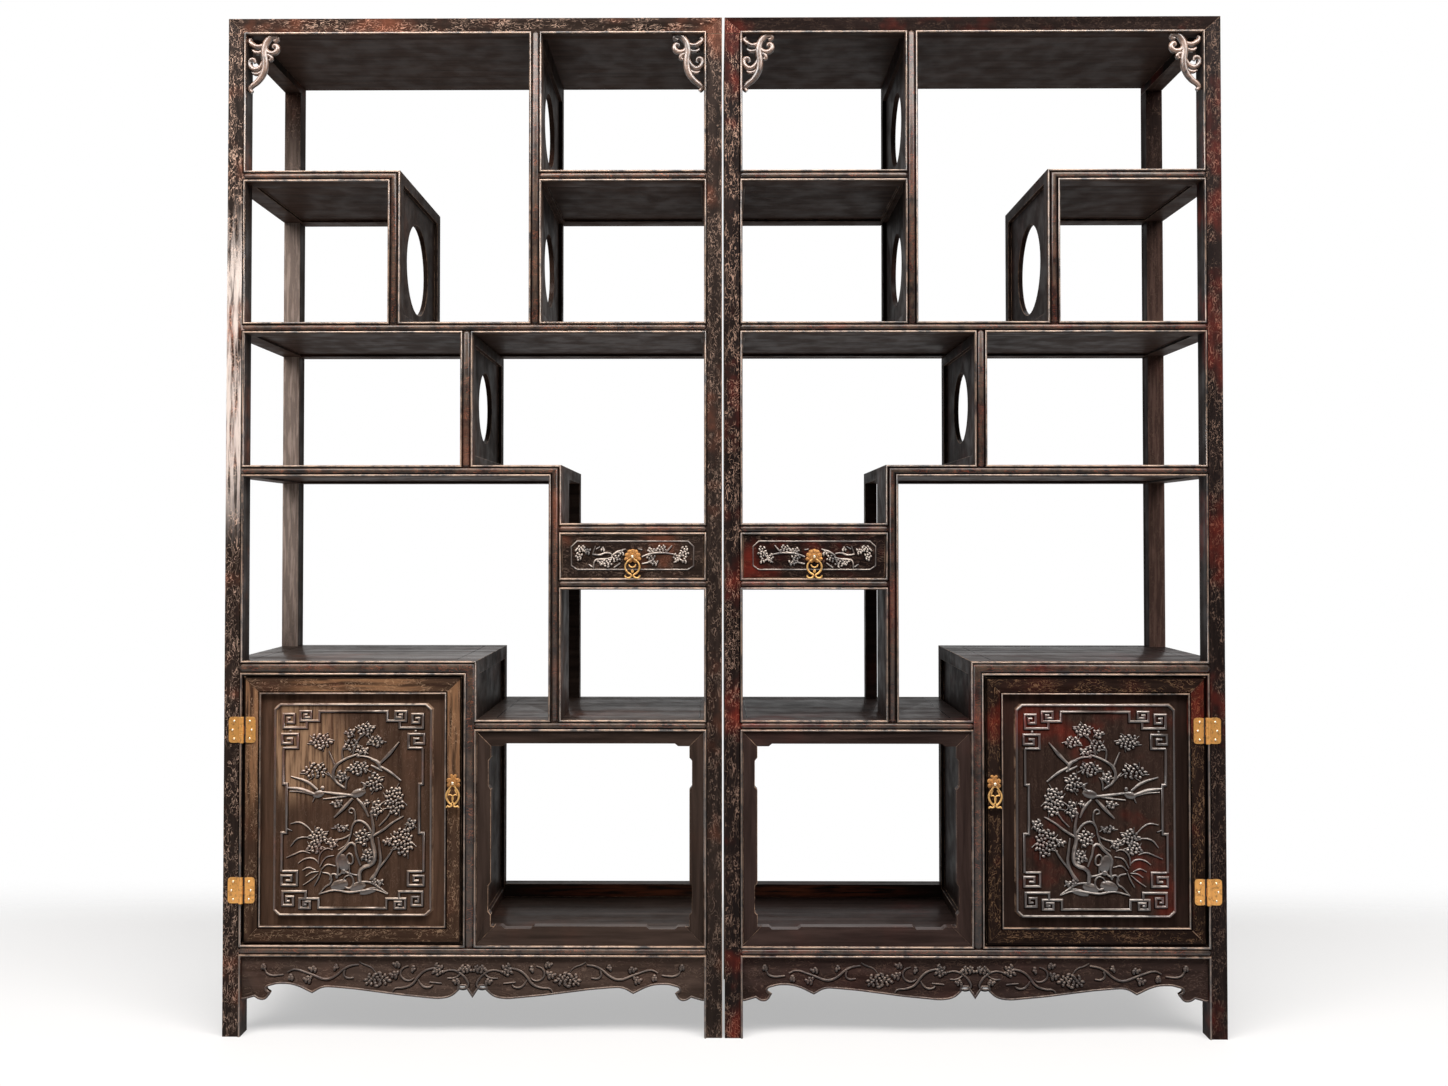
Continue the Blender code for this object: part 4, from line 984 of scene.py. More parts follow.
# Cupboard doors
# A mitred frame with a double bead round a floating panel. On its raised field, inside key-fret
# corners, a blossoming tree grows from a pierced rock, with birds and grass, all in low relief.
DOOR_STILE = 0.035
DOOR_BROWN = {"left": (0.045, 0.0255, 0.0168, 1.0), "right": (0.020, 0.0120, 0.0094, 1.0)}
PANEL_LIFT = 1.15
PANEL_RED = {"left": 0.15, "right": 0.8}
MARGIN_LIFT = {"left": 1.4, "right": 1.15}
MARGIN_RED = 0.1
CRACKLE_GOLD = {"left": (0.46, 0.30, 0.19, 1.0), "right": (0.38, 0.22, 0.12, 1.0)}
DOOR_CRACKLE = {"left": 0.55, "right": 0.42}
DOOR_LIFT = {"left": 0.85, "right": 0.62}
FRAME_RUB = {"left_rail": {"centre": (-0.70, -0.17, 0.66), "reach": (0.17, 1.0, 0.30), "amount": 0.62,
                           "colour": (0.29, 0.150, 0.075, 1.0)},
             "left_stile": {"centre": (-0.72, -0.17, 0.60), "reach": (0.50, 1.0, 0.24), "amount": 0.62,
                            "colour": (0.29, 0.150, 0.075, 1.0)}}
STILE_RED = {"left": 0.45, "right": 0.95}
RAIL_RED = {"left": 0.35, "right": 0.12}
PANEL_RUB = {"left": {"centre": (-0.845, -0.17, 0.555), "reach": (0.150, 1.0, 0.130), "amount": 0.62,
                      "colour": (0.39, 0.240, 0.142, 1.0)}}
FIELD_GRID = 0.002726
FIELD_MIDDLE = (54.2, 84.5)
RELIEF_LIFT = 0.0010
RELIEF_RISE = 0.0055
RELIEF_BROWN = {"left": 0.95, "right": 1.2}
RELIEF_TAN = {"left": (0.56, 0.42, 0.32, 1.0), "right": (0.48, 0.41, 0.36, 1.0)}
LEAF_TURNS = 5
LEAF_REACH = (0.70, 1.32)
LEAF_BEND = 0.35
LEAF_SWELL = (0.9, 1.7, 0.8)
DOOR_TRIM = 0.0022
DOOR_BEAD = (0.0014, 0.0026, 0.0018)
# Painted shade rings: one beside the door bead, one in the gap round the door.
DOOR_HOLLOW_SHADE = (0.0042, 0.0026, 0.0004)
DOOR_GAP_SHADE = (0.0312, 0.0030, 0.0004)
FRET_W = 0.0046
FRET_H = 0.0032
BORDER_W = 0.0044
BORDER = ((-1.4, 13.6), (2.5, 10.0), (105.9, 10.0), (109.8, 13.6), (109.8, 155.4), (105.9, 159.0),
          (2.5, 159.0), (-1.4, 155.4))
FRETS = (((21, 21.5), (21, 26.5), (4.5, 26.5), (4.5, 16.8), (12, 16.8), (12, 22.8), (7.2, 22.8),
          (7.2, 19.6), (9.6, 19.6)),
         ((54.2, 14.8), (30, 14.8), (30, 21.5), (16.6, 21.5), (16.6, 14.8), (24, 14.8), (24, 19.3),
          (19.4, 19.3), (19.4, 17.2), (21.6, 17.2)),
         ((4.5, 40.8), (14.7, 40.8), (14.7, 31), (3.6, 31), (3.6, 37.6), (10.6, 37.6), (10.6, 34.2),
          (7.0, 34.2)))
FRET_SIDE = ((4.5, 40.8), (4.5, 66.3), (7, 66.3), (7, 101), (3.6, 101), (3.6, 128.2))
FRET_DROPS = ((9.5, 28.8, 0.9), (5.4, 66.3, 1.1), (4.6, 101, 1.1))
TREE = (
    ([(59.5, 135.5), (60, 127), (69, 122), (70, 115), (68, 105), (69, 99), (68, 90)], (4.2, 4.6, 2.4)),
    ([(69, 133), (74, 122), (73.5, 113), (72.5, 104)], (3.6, 3.2, 1.6)),
    ([(67, 134), (73, 126), (80, 117), (84, 110)], (2.6, 2.4, 1.4)),
    ([(66, 104.5), (77, 98), (82, 94), (90.5, 89)], (2.6, 2.6, 1.4)),
    ([(68, 90), (67.5, 86), (72, 82), (78, 78)], (2.4, 2.0, 1.2)),
    ([(73, 96), (80, 88), (82, 82)], (1.4, 1.6, 1.0)),
    ([(67.5, 100), (63, 94), (57, 92.5), (54, 96), (53, 102)], (2.2, 2.4, 1.4)),
    ([(55, 95), (56, 88), (53.5, 83.5), (51.5, 86), (54, 87)], (1.6, 1.8, 1.0)),
    ([(53, 102), (47, 105), (42, 106)], (1.8, 1.8, 1.2)),
    ([(53, 101), (50, 109), (44, 113)], (1.8, 1.8, 1.2)),
    ([(48, 69), (41, 63), (41, 55), (47, 49.5), (58, 45)], (2.2, 3.2, 2.0)),
    ([(42, 55), (40, 50), (37, 43)], (2.0, 2.0, 1.2)),
    ([(47, 49.5), (46.5, 42), (48.5, 38)], (1.8, 1.6, 1.0)),
    ([(54, 47), (56, 38), (60, 32), (63, 29)], (1.8, 1.8, 1.0)),
    ([(41, 63.5), (36, 58)], (1.9, 1.7, 1.5)),
    ([(49, 70), (49.5, 64), (51.5, 61)], (1.9, 1.8, 1.2)),
    ([(58, 46), (62, 43), (64, 41)], (1.5, 1.5, 1.0)))
BIRDS = (
    ([(29, 70.5), (22, 65), (10, 61)], (2.2, 3.0, 1.4)),
    ([(27, 73.5), (17, 70), (7.5, 69)], (2.6, 3.6, 1.8)),
    ([(26, 74), (18, 72), (9, 71.5)], (1.6, 1.8, 1.0)), ([(27, 76), (25.5, 79)], (1.4, 1.2, 0.9)),
    ([(55, 74.5), (45, 73.5), (33, 72)], (2.6, 3.2, 1.8)),
    ([(50, 75), (42, 76), (33, 77)], (1.8, 1.8, 1.2)),
    ([(54, 76.5), (48, 83), (41, 90)], (2.6, 4.2, 1.6)),
    ([(57, 76.5), (62, 82), (65.5, 89.5)], (2.2, 3.4, 1.6)),
    ([(60, 71), (63, 67), (60, 65)], (2.8, 2.2, 1.2)),
    ([(67, 48.5), (72, 51), (74, 56)], (2.4, 4.0, 2.2)),
    ([(70, 49.5), (64, 47), (59, 46.5)], (2.2, 2.0, 1.6)),
    ([(73, 52), (80, 45), (87, 36.5)], (2.4, 4.0, 1.2)),
    ([(74, 54), (81, 58), (88.5, 64)], (2.2, 2.8, 1.6)),
    ([(67, 53), (71, 55), (75, 57)], (1.6, 2.4, 1.4)))
ROCK = (
    ([(31, 144), (42, 141.5), (52, 143), (60, 142), (70, 141), (79, 144)], (1.6, 2.6, 1.2)),
    ([(30.5, 144.5), (35, 139), (39, 136), (38, 130.5), (33, 129)], (1.4, 2.2, 1.4)),
    ([(59.5, 135.5), (67, 136), (74, 140), (79.5, 144)], (1.8, 2.2, 1.2)),
    ([(43, 133), (44, 126), (43, 119), (49, 112), (54, 108), (57, 116), (60, 124)], (2.2, 3.0, 1.8)),
    ([(50, 117), (52, 115.5), (54.5, 119), (53.5, 122.8), (50.8, 122), (50, 117)], (1.4, 2.0, 1.4)),
    ([(49, 132), (52.5, 131), (55, 136), (52.5, 140), (49, 139), (47.5, 135), (49, 132)], (1.4, 2.2, 1.4)),
    ([(38, 134), (40, 130), (44, 131), (48, 128.5), (53, 130), (58, 131)], (1.6, 2.2, 1.8)),
    ([(52, 130), (52, 125), (51.5, 122)], (1.6, 1.4, 1.2)), ([(60, 139), (63, 143)], (1.2, 1.2, 0.8)))
ROCK_MASSES = ((47.5, 122, 4.2, 6.5, 2.2), (45, 138, 6.5, 4.0, 2.4), (58, 139, 6.0, 3.4, 2.0),
               (48, 128.3, 1.9, 1.9, 3.0), (43, 131, 1.4, 1.4, 2.6), (29.8, 73.6, 4.2, 2.7, 3.2),
               (32.6, 69.2, 1.5, 1.5, 3.0), (58.2, 72.8, 5.6, 3.2, 3.4), (62.6, 66.8, 1.5, 1.4, 2.8),
               (58, 46.5, 1.4, 1.2, 2.4), (66, 142, 7.0, 2.2, 1.6))
MASS_TILT = 0.3
GRASS = (
    ([(10, 94.5), (16, 93.5), (21, 96), (25, 100)], (1.0, 1.8, 0.9)),
    ([(10, 110.5), (15, 105), (24, 104)], (1.0, 1.8, 0.9)),
    ([(7, 118.5), (13, 116), (19, 114), (24, 115.5)], (1.0, 1.8, 0.9)),
    ([(15.5, 122.5), (20, 119.5), (26, 119), (30, 122)], (1.0, 1.8, 0.9)),
    ([(18.5, 127.5), (23, 125.5), (28, 127.5)], (1.0, 1.6, 0.9)),
    ([(19, 138), (25, 134), (29.5, 130)], (1.0, 1.6, 0.9)),
    ([(30, 123), (31, 116), (36, 112), (40, 113)], (1.2, 1.6, 0.9)),
    ([(31, 125), (35, 118.5), (41, 117)], (1.2, 1.6, 0.9)),
    ([(32, 127), (36, 123.5), (42, 124.5)], (1.2, 1.6, 0.9)),
    ([(21, 131.5), (25, 129), (30, 128.5)], (1.0, 1.6, 0.9)),
    ([(27, 138.5), (30, 133), (32, 128)], (1.0, 1.6, 0.9)), ([(7, 98), (11, 99.5)], (1.4, 1.6, 0.9)))
BLOSSOMS = (
    (31, 36, 7.5, 5.5, 22), (52, 30, 3.5, 3, 7), (63, 27.5, 6, 4.5, 15), (70, 36, 6, 3.5, 12),
    (53, 39, 6, 4, 11), (61, 43, 4, 2.5, 6), (58, 55, 7.5, 4.5, 20), (46, 61, 3.5, 4, 9),
    (27, 57, 8.5, 5.5, 19), (70, 65, 5.5, 7, 18),
    (84, 78, 7, 10, 34), (96, 94.5, 3.5, 3.5, 8), (90, 107, 7.5, 10, 34), (79, 107, 3, 2.5, 6),
    (30, 103, 6, 5.5, 18), (46, 97.5, 5.5, 2, 8), (61, 104, 5, 6, 14), (27, 111, 6, 4, 12),
    (72, 136, 4.5, 2, 8), (65, 117, 4.5, 4.5, 12),
    (64, 80, 2, 2, 3), (71, 84, 4, 6, 11), (40, 108, 4, 3, 8), (43, 80, 4, 2.5, 7))


def leaves_round(clusters):
    """Strokes for the leaves that stand out all round each cluster of blossoms."""
    strokes = []
    for middle, drop, wide, high, count in clusters:
        for number in range(LEAF_TURNS):
            turn = (number + count) * TURN
            line = [(middle + share * wide * math.cos(turn + bend),
                     drop + share * high * math.sin(turn + bend))
                    for share, bend in zip(LEAF_REACH, (0.0, LEAF_BEND))]
            strokes.append((line, LEAF_SWELL))
    return strokes


def mirrored(points, middle, flip_across, flip_down):
    """Points of a drawing, turned over about its middle."""
    return [(2 * middle[0] - x if flip_across else x, 2 * middle[1] - y if flip_down else y)
            for x, y in points]


for cabinet, layout in LAYOUTS.items():
    door = f"{cabinet}_door"
    (low, high), panel_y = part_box(f"{door}_frame"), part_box(f"{door}_panel")[0].y
    centre_x, centre_z, frame_y = (low.x + high.x) / 2, (low.z + high.z) / 2, low.y

    def on_field(across, down):
        return Vector((centre_x - layout.hand * (across - FIELD_MIDDLE[0]) * FIELD_GRID,
                       panel_y - RELIEF_LIFT, centre_z + (FIELD_MIDDLE[1] - down) * FIELD_GRID))

    def line_on_field(points):
        return [(spot.x, spot.z) for spot in (on_field(*point) for point in points)]

    carving = bmesh.new()
    fret_ends = []
    sweep(carving, line_on_field(BORDER), half_round(BORDER_W, FRET_H), panel_y, True)
    for flip_across in (False, True):
        fret_ends += sweep(carving, line_on_field(mirrored(FRET_SIDE, FIELD_MIDDLE, flip_across, False)),
                           half_round(FRET_W, FRET_H), panel_y)
        for flip_down in (False, True):
            for fret in FRETS:
                turned = line_on_field(mirrored(fret, FIELD_MIDDLE, flip_across, flip_down))
                fret_ends += sweep(carving, turned, half_round(FRET_W, FRET_H), panel_y)
    close_up(carving, fret_ends)
    for flip_across in (False, True):
        for across, down, size in FRET_DROPS:
            spot = on_field(*mirrored([(across, down)], FIELD_MIDDLE, flip_across, False)[0])
            carve_dome(carving, spot, size * FIELD_GRID, size * FIELD_GRID, FRET_H)
    strokes = [*TREE, *BIRDS, *ROCK, *GRASS, *leaves_round(BLOSSOMS)]
    carve_strokes(carving, strokes, on_field, steps=3)
    for across, down, length, width, rise in ROCK_MASSES:
        carve_dome(carving, on_field(across, down), length * FIELD_GRID, width * FIELD_GRID, rise * MM,
                   on_field(across + 1, down - MASS_TILT))
    carve_clusters(carving, BLOSSOMS, on_field, FIELD_GRID)
    relief_finish = worn_relief_with_painted_light(f"{door}_relief_lacquer", cabinet, panel_y, RELIEF_RISE,
                                  redness=0.8, rub_and_highlight=0.64, wood=DOOR_BROWN, tan=RELIEF_TAN[cabinet],
                                  start=0.78,
                                  lift=RELIEF_BROWN[cabinet])
    make_piece(f"{door}_carving", carving, [relief_finish], door, smooth=ROUND_UNDER)
    # Painted shadow under the carving and frets, on a flat dark sheet.
    ground = painted_shadow_sheet(strokes, BLOSSOMS, on_field, FIELD_GRID, panel_y)
    shadow_ends = []
    for flip_across in (False, True):
        for fret, flips in ((FRET_SIDE, (False,)), *((fret, (False, True)) for fret in FRETS)):
            for flip_down in flips:
                turned = [(across + SHADOW_DROP[0], down + SHADOW_DROP[1]) for across, down in
                          mirrored(fret, FIELD_MIDDLE, flip_across, flip_down)]
                shadow_ends += sweep(ground, line_on_field(turned),
                                  half_round(FRET_W + 2 * SHADOW_W * MM, SHADOW_FLAT * FRET_H),
                                  panel_y)
    close_up(ground, shadow_ends)
    shadow_finish = lacquered(f"{door}_painted_shadow_lacquer", cabinet, UPRIGHT_GRAIN, **SHADOW_FINISH)
    make_piece(f"{door}_carving_painted_shadow", ground, [shadow_finish], door)
    panel_finish = lacquered(f"{door}_panel_lacquer", cabinet, UPRIGHT_GRAIN, UPRIGHT_CRACKS, crackle=0.1,
                             redness=PANEL_RED[cabinet], edge_rub=0.7, lift=PANEL_LIFT, wood=DOOR_BROWN,
                             worn=PANEL_RUB.get(cabinet))
    margin_finish = lacquered(f"{door}_margin_lacquer", cabinet, UPRIGHT_GRAIN, redness=MARGIN_RED,
                              edge_rub=0.5, lift=MARGIN_LIFT[cabinet], wood=DOOR_BROWN)
    panel = merged_copy(f"{door}_panel")
    soften(panel, ARRIS)
    for face in panel.faces:
        face.material_index = int(face.calc_center_median().y > panel_y + ARRIS)
    make_piece(f"{door}_panel_wood", panel, [panel_finish, margin_finish], door,
               (f"{door}_panel",))

    frame_finishes = [lacquered(f"{door}_{way}_lacquer", cabinet, grain, cracks, DOOR_CRACKLE[cabinet],
                                redness=red[cabinet], edge_rub=0.6, lift=DOOR_LIFT[cabinet],
                                wood=DOOR_BROWN,
                                cracked=CRACKLE_GOLD, worn=FRAME_RUB.get(f"{cabinet}_{way}"))
                      for way, grain, cracks, red in (("stile", UPRIGHT_GRAIN, UPRIGHT_CRACKS, STILE_RED),
                                                      ("rail", LEVEL_GRAIN, LEVEL_CRACKS, RAIL_RED))]
    make_piece(f"{door}_frame_wood", mitred_frame(f"{door}_frame", DOOR_TRIM), frame_finishes, door,
               (f"{door}_frame",))
    opening = [(low.x + DOOR_STILE, low.z + DOOR_STILE), (high.x - DOOR_STILE, low.z + DOOR_STILE),
               (high.x - DOOR_STILE, high.z - DOOR_STILE), (low.x + DOOR_STILE, high.z - DOOR_STILE)]
    bead_finish = worn_relief_with_painted_light(f"{door}_bead_lacquer", cabinet, frame_y, DOOR_BEAD[2],
                                redness=0.4, rub_and_highlight=0.55, tan=RUBBED_AND_HIGHLIGHT_TAN, start=0.1)
    # The hollow and edge rings are flat dark rings of painted shade: one beside the bead, one in the gap
    # round the door.
    for trim, (away, width, rise), finish in (("bead", DOOR_BEAD, bead_finish),
                                              ("hollow", DOOR_HOLLOW_SHADE, shadow_finish),
                                              ("edge", DOOR_GAP_SHADE, shadow_finish)):
        moulding = bmesh.new()
        sweep(moulding, outset(opening, away), half_round(width, rise), frame_y, True)
        close_up(moulding, [])
        make_piece(f"{door}_{trim}", moulding, [finish], door, smooth=ROUND_UNDER)

# Drawers
# A small drawer front with a line round a field with cut corners, and plum branches in low relief.
DRAWER_GRID = 0.002475
DRAWER_MIDDLE = (71.6, 35.8)
DRAWER_LINE = ((23.5, 28), (28, 23.8), (115, 23.8), (119.4, 28), (119.4, 43), (115, 46), (28, 46),
               (23.5, 43))
DRAWER_LINE_W = 0.0026
DRAWER_LINE_H = 0.0015
PLUM = (
    ([(40, 34), (46, 34.5), (50, 33), (55, 33.5)], (1.4, 1.9, 1.2)),
    ([(41, 45), (42, 39), (46, 38), (52, 37.5), (56, 36)], (1.4, 1.9, 1.2)),
    ([(55, 35), (60, 32), (66, 30)], (1.4, 2.2, 1.2)), ([(57, 44.5), (62, 41)], (1.4, 1.6, 1.2)),
    ([(40, 44), (37, 42)], (1.4, 1.6, 1.2)), ([(40.5, 33), (42.5, 27.5)], (1.2, 1.5, 1.0)),
    ([(43, 30), (46, 28)], (1.2, 1.5, 1.0)),
    ([(79, 36), (84, 34), (90, 33), (97, 33), (104, 34)], (1.4, 2.1, 1.3)),
    ([(79, 41.5), (85, 40), (88, 38)], (1.4, 1.9, 1.2)),
    ([(97, 33), (100, 30), (102.5, 27)], (1.3, 1.6, 1.0)),
    ([(104, 40.5), (108, 37), (113, 30)], (1.4, 1.7, 1.0)), ([(87, 33), (91, 29)], (1.3, 1.5, 1.0)),
    ([(79, 30.5), (76, 30)], (1.4, 1.5, 1.2)))
PLUM_BLOSSOMS = (
    (31, 30, 4.5, 2.5, 11), (29.5, 36, 3, 3, 8), (36, 32, 2.5, 2.5, 6), (48, 30, 2, 1.5, 4),
    (51, 41, 5, 3, 12), (58, 37, 4, 3.5, 10), (47, 40, 3, 2.5, 6), (63, 33, 2.5, 2, 5),
    (86, 31.5, 3, 2.5, 8), (94, 30, 4.5, 3, 11), (86, 37, 4, 2.5, 8), (88.5, 41, 3, 2, 6),
    (106, 37, 3, 3.5, 9), (112, 32, 4, 4.5, 12), (112, 39, 2.5, 2, 5))
PLUM_RISE = 0.0022
PLUM_BERRY = 1.08
PLUM_BOLD = 1.25
PLUM_STROKES = [(points, [PLUM_BOLD * radius for radius in radii]) for points, radii in PLUM]
for cabinet, layout in LAYOUTS.items():
    drawer = f"{cabinet}_drawer"
    low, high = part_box(drawer)
    centre_x, centre_z, drawer_y = (low.x + high.x) / 2, (low.z + high.z) / 2, low.y

    def on_drawer(across, down):
        return Vector((centre_x - layout.hand * (across - DRAWER_MIDDLE[0]) * DRAWER_GRID, drawer_y,
                       centre_z + (DRAWER_MIDDLE[1] - down) * DRAWER_GRID))

    plum = bmesh.new()
    line = [(spot.x, spot.z) for spot in (on_drawer(*point) for point in DRAWER_LINE)]
    sweep(plum, line, half_round(DRAWER_LINE_W, DRAWER_LINE_H), drawer_y, True)
    close_up(plum, [])
    carve_strokes(plum, PLUM_STROKES, on_drawer, steps=3)
    carve_clusters(plum, PLUM_BLOSSOMS, on_drawer, DRAWER_GRID, PLUM_BERRY)
    plum_finish = worn_relief_with_painted_light(f"{drawer}_relief_lacquer", cabinet, drawer_y, PLUM_RISE,
                                redness=0.5, rub_and_highlight=0.60, tan=CARVED_TAN, start=0.5, lift=CARVED_LIFT)
    make_piece(f"{drawer}_carving", plum, [plum_finish], drawer, smooth=ROUND_UNDER)
    shadow_finish = lacquered(f"{drawer}_painted_shadow_lacquer", cabinet, LEVEL_GRAIN, **SHADOW_FINISH)
    # Painted shadow under the plum carving, on a flat dark sheet.
    make_piece(f"{drawer}_carving_painted_shadow", painted_shadow_sheet(PLUM_STROKES, PLUM_BLOSSOMS, on_drawer, DRAWER_GRID,
                                                 drawer_y, PLUM_BERRY),
               [shadow_finish], drawer)
    drawer_finish = lacquered(f"{drawer}_lacquer", cabinet, LEVEL_GRAIN, LEVEL_CRACKS, crackle=0.2,
                              redness=0.9, edge_rub=0.5)
    softened_node(drawer, drawer_finish, drawer)

# Brass hinges and pulls
# Rounded surface hinges with three studs on each leaf, and pulls with a scalloped rosette, a bright
# knob and an openwork pendant of two curls. Old brass, browned in patches and bright where rubbed.
BRASS = (0.79, 0.385, 0.105, 1.0)
BRASS_BRIGHT = (0.90, 0.57, 0.20, 1.0)
PENDANT_BRASS = (0.70, 0.41, 0.14, 1.0)
BRASS_BROWN = (0.20, 0.095, 0.040, 1.0)
STUD_BRIGHT = (0.78, 0.68, 0.48, 1.0)
KNUCKLE_GAP_SHADE = (0.020, 0.013, 0.010, 1.0)
JOINT_W = 0.0030
JOINT_H = 0.0004
BRASS_ARRIS = 0.0005
BRASS_METAL = 0.6
BRASS_ROUGHNESS = (0.34, 0.6)
BRASS_RUB = 0.7
BROWN_FADE = 0.24
BROWN_MOST = 0.75
STUD_R = 0.0026
STUD_SPOTS = ((17.0, 15.0), (0.0, 18.5), (-17.0, 15.0))
KNUCKLE_R = 0.004
PLATE_T = 0.0016
KNOB_R = 0.0036
ROSETTE_RISE = 0.0018
PULLS = {
    "door": {"lobes": ((0, 0, 9.5, 9.0), (-8, -4, 5.5, 5.0), (8, -4, 5.5, 5.0), (0, -9, 5.5, 5.0),
                       (-8.5, 5, 4.5, 4.5), (8.5, 5, 4.5, 4.5), (-4, -13, 3.2, 3.2),
                       (3.5, -13, 3.2, 3.2)),
             "strokes": (([(-2.5, 4), (-5, 8), (-9, 14), (-12.3, 21), (-11.5, 29), (-7, 37), (-2, 42.5),
                           (-6, 45), (-10, 44), (-12.3, 46.5)], (1.5, 2.1, 1.5)),
                         ([(-9, 23), (-5, 22), (0, 24.5)], (1.2, 1.5, 1.3)),
                         ([(-4, 12), (-7, 17), (-8, 23)], (1.2, 1.5, 1.2)),
                         ([(-0.1, 24.5), (-1, 30), (-0.1, 35), (-3, 39)], (1.4, 1.4, 1.2)))},
    "drawer": {"lobes": ((0, 0, 11.0, 9.5), (-10, -3, 5.6, 5.0), (10, -3, 5.6, 5.0), (-5.5, -9, 5.4, 4.6),
                         (5.5, -9, 5.4, 4.6), (0, -10.5, 5.0, 4.4), (-12, 4.5, 4.8, 3.6),
                         (12, 4.5, 4.8, 3.6), (-5, 8, 4.6, 4.0), (5, 8, 4.6, 4.0)),
               "strokes": (([(-2.5, 4), (-8, 8), (-13, 15), (-13.5, 23), (-8.5, 31), (-2.2, 36), (-4.5, 40),
                             (-9, 41), (-13.5, 39), (-14, 35.5)], (1.5, 2.1, 1.7)),
                           ([(-7, 15), (-4.5, 19), (-0.1, 21)], (1.3, 1.6, 1.4)),
                           ([(-0.1, 25), (-1.4, 28), (-0.1, 31)], (1.2, 1.5, 1.2)))}}


def old_brass(name, base, patches=160.0, clean=0.48):
    """Brass with brown patches and paler rubbed edges."""
    material, tree, shader = start_material(name)
    place = object_place(tree)
    brown = remap(tree, noise(tree, place, patches, 4.0, 0.65), clean, clean + BROWN_FADE, 0.0, BROWN_MOST)
    edge = face_mask(tree, WORN)
    colour = blend_colours(tree, brown, base, BRASS_BROWN)
    colour = blend_colours(tree, maths(tree, "MULTIPLY", edge, BRASS_RUB), colour, BRASS_BRIGHT)
    tree.links.new(colour, shader.inputs["Base Color"])
    tree.links.new(remap(tree, brown, 0.0, BROWN_MOST, *BRASS_ROUGHNESS), shader.inputs["Roughness"])
    shader.inputs["Metallic"].default_value = BRASS_METAL
    return material


brass = old_brass("old_brass", BRASS)
pendant_brass = old_brass("rubbed_brass", PENDANT_BRASS)
engraved_brass = old_brass("engraved_brass", BRASS, patches=380.0, clean=0.30)
stud_metal, _, stud_shader = start_material("worn_stud")
stud_shader.inputs["Base Color"].default_value = STUD_BRIGHT
stud_shader.inputs["Metallic"].default_value = 0.9
stud_shader.inputs["Roughness"].default_value = 0.2
knuckle_gap_shade, _, joint_shader = start_material("painted_shade_in_knuckle_gap")
joint_shader.inputs["Base Color"].default_value = KNUCKLE_GAP_SHADE
joint_shader.inputs["Roughness"].default_value = 0.7

for cabinet, layout in LAYOUTS.items():
    door = f"{cabinet}_door"
    for level in ("upper", "lower"):
        for leaf, body, outward in (("post_leaf", "cabinets", -1), ("door_leaf", door, 1)):
            node = f"{cabinet}_hinge_{level}_{leaf}"
            low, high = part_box(node)
            softened_node(node, brass, body, BRASS_ARRIS)
            studs = bmesh.new()
            knuckle_x = (low.x + KNUCKLE_R) if outward * layout.hand < 0 else (high.x - KNUCKLE_R)
            for up, out in STUD_SPOTS:
                spot = Vector((knuckle_x - outward * layout.hand * out * MM, high.y - PLATE_T,
                               (low.z + high.z) / 2 + up * MM))
                carve_dome(studs, spot, STUD_R, STUD_R, STUD_R)
            make_piece(f"{node}_studs", studs, [stud_metal], body, smooth=ROUND_UNDER)
            if leaf == "door_leaf":
                # Painted shade: a dark strip in the gap beside the knuckle.
                joint = bmesh.new()
                joint_x = knuckle_x - layout.hand * (KNUCKLE_R + JOINT_W / 2)
                ends = sweep(joint, [(joint_x, low.z), (joint_x, high.z)], half_round(JOINT_W, JOINT_H),
                             high.y - PLATE_T)
                close_up(joint, ends)
                make_piece(f"{node}_joint", joint, [knuckle_gap_shade], body)
    for kind in ("door", "drawer"):
        body = f"{cabinet}_{kind}"
        plate, pendant = f"{body}_pull_plate", f"{body}_pull_pendant"
        low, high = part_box(plate)
        hung_low, hung_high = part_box(pendant)
        barrel = (hung_high.y - hung_low.y) / 2
        axis = Vector(((hung_low.x + hung_high.x) / 2, (hung_low.y + hung_high.y) / 2,
                       hung_high.z - barrel))
        rosette = merged_copy(plate)
        saw_off(rosette, [((0.0, high.y - PLATE_T - MERGE, 0.0), (0.0, 1.0, 0.0))])
        for across, down, wide, tall in PULLS[kind]["lobes"]:
            spot = Vector((axis.x + across * MM, high.y, axis.z - down * MM))
            carve_dome(rosette, spot, wide * MM, tall * MM, ROSETTE_RISE)
        make_piece(f"{plate}_brass", rosette, [engraved_brass], body, (plate,))
        hanging = bmesh.new()
        for side in (-1, 1):

            def on_pendant(across, down):
                return Vector((axis.x + side * across * MM, axis.y, axis.z - down * MM))

            carve_strokes(hanging, PULLS[kind]["strokes"], on_pendant, steps=4)
        curls = set(hanging.faces)
        carve_dome(hanging, axis, KNOB_R, KNOB_R, KNOB_R)
        for face in hanging.faces:
            face.material_index = int(face not in curls)
        close_up(hanging, [])
        make_piece(f"{pendant}_brass", hanging, [pendant_brass, stud_metal], f"{body}_pendant",
                   (pendant,), smooth=ROUND_UNDER)

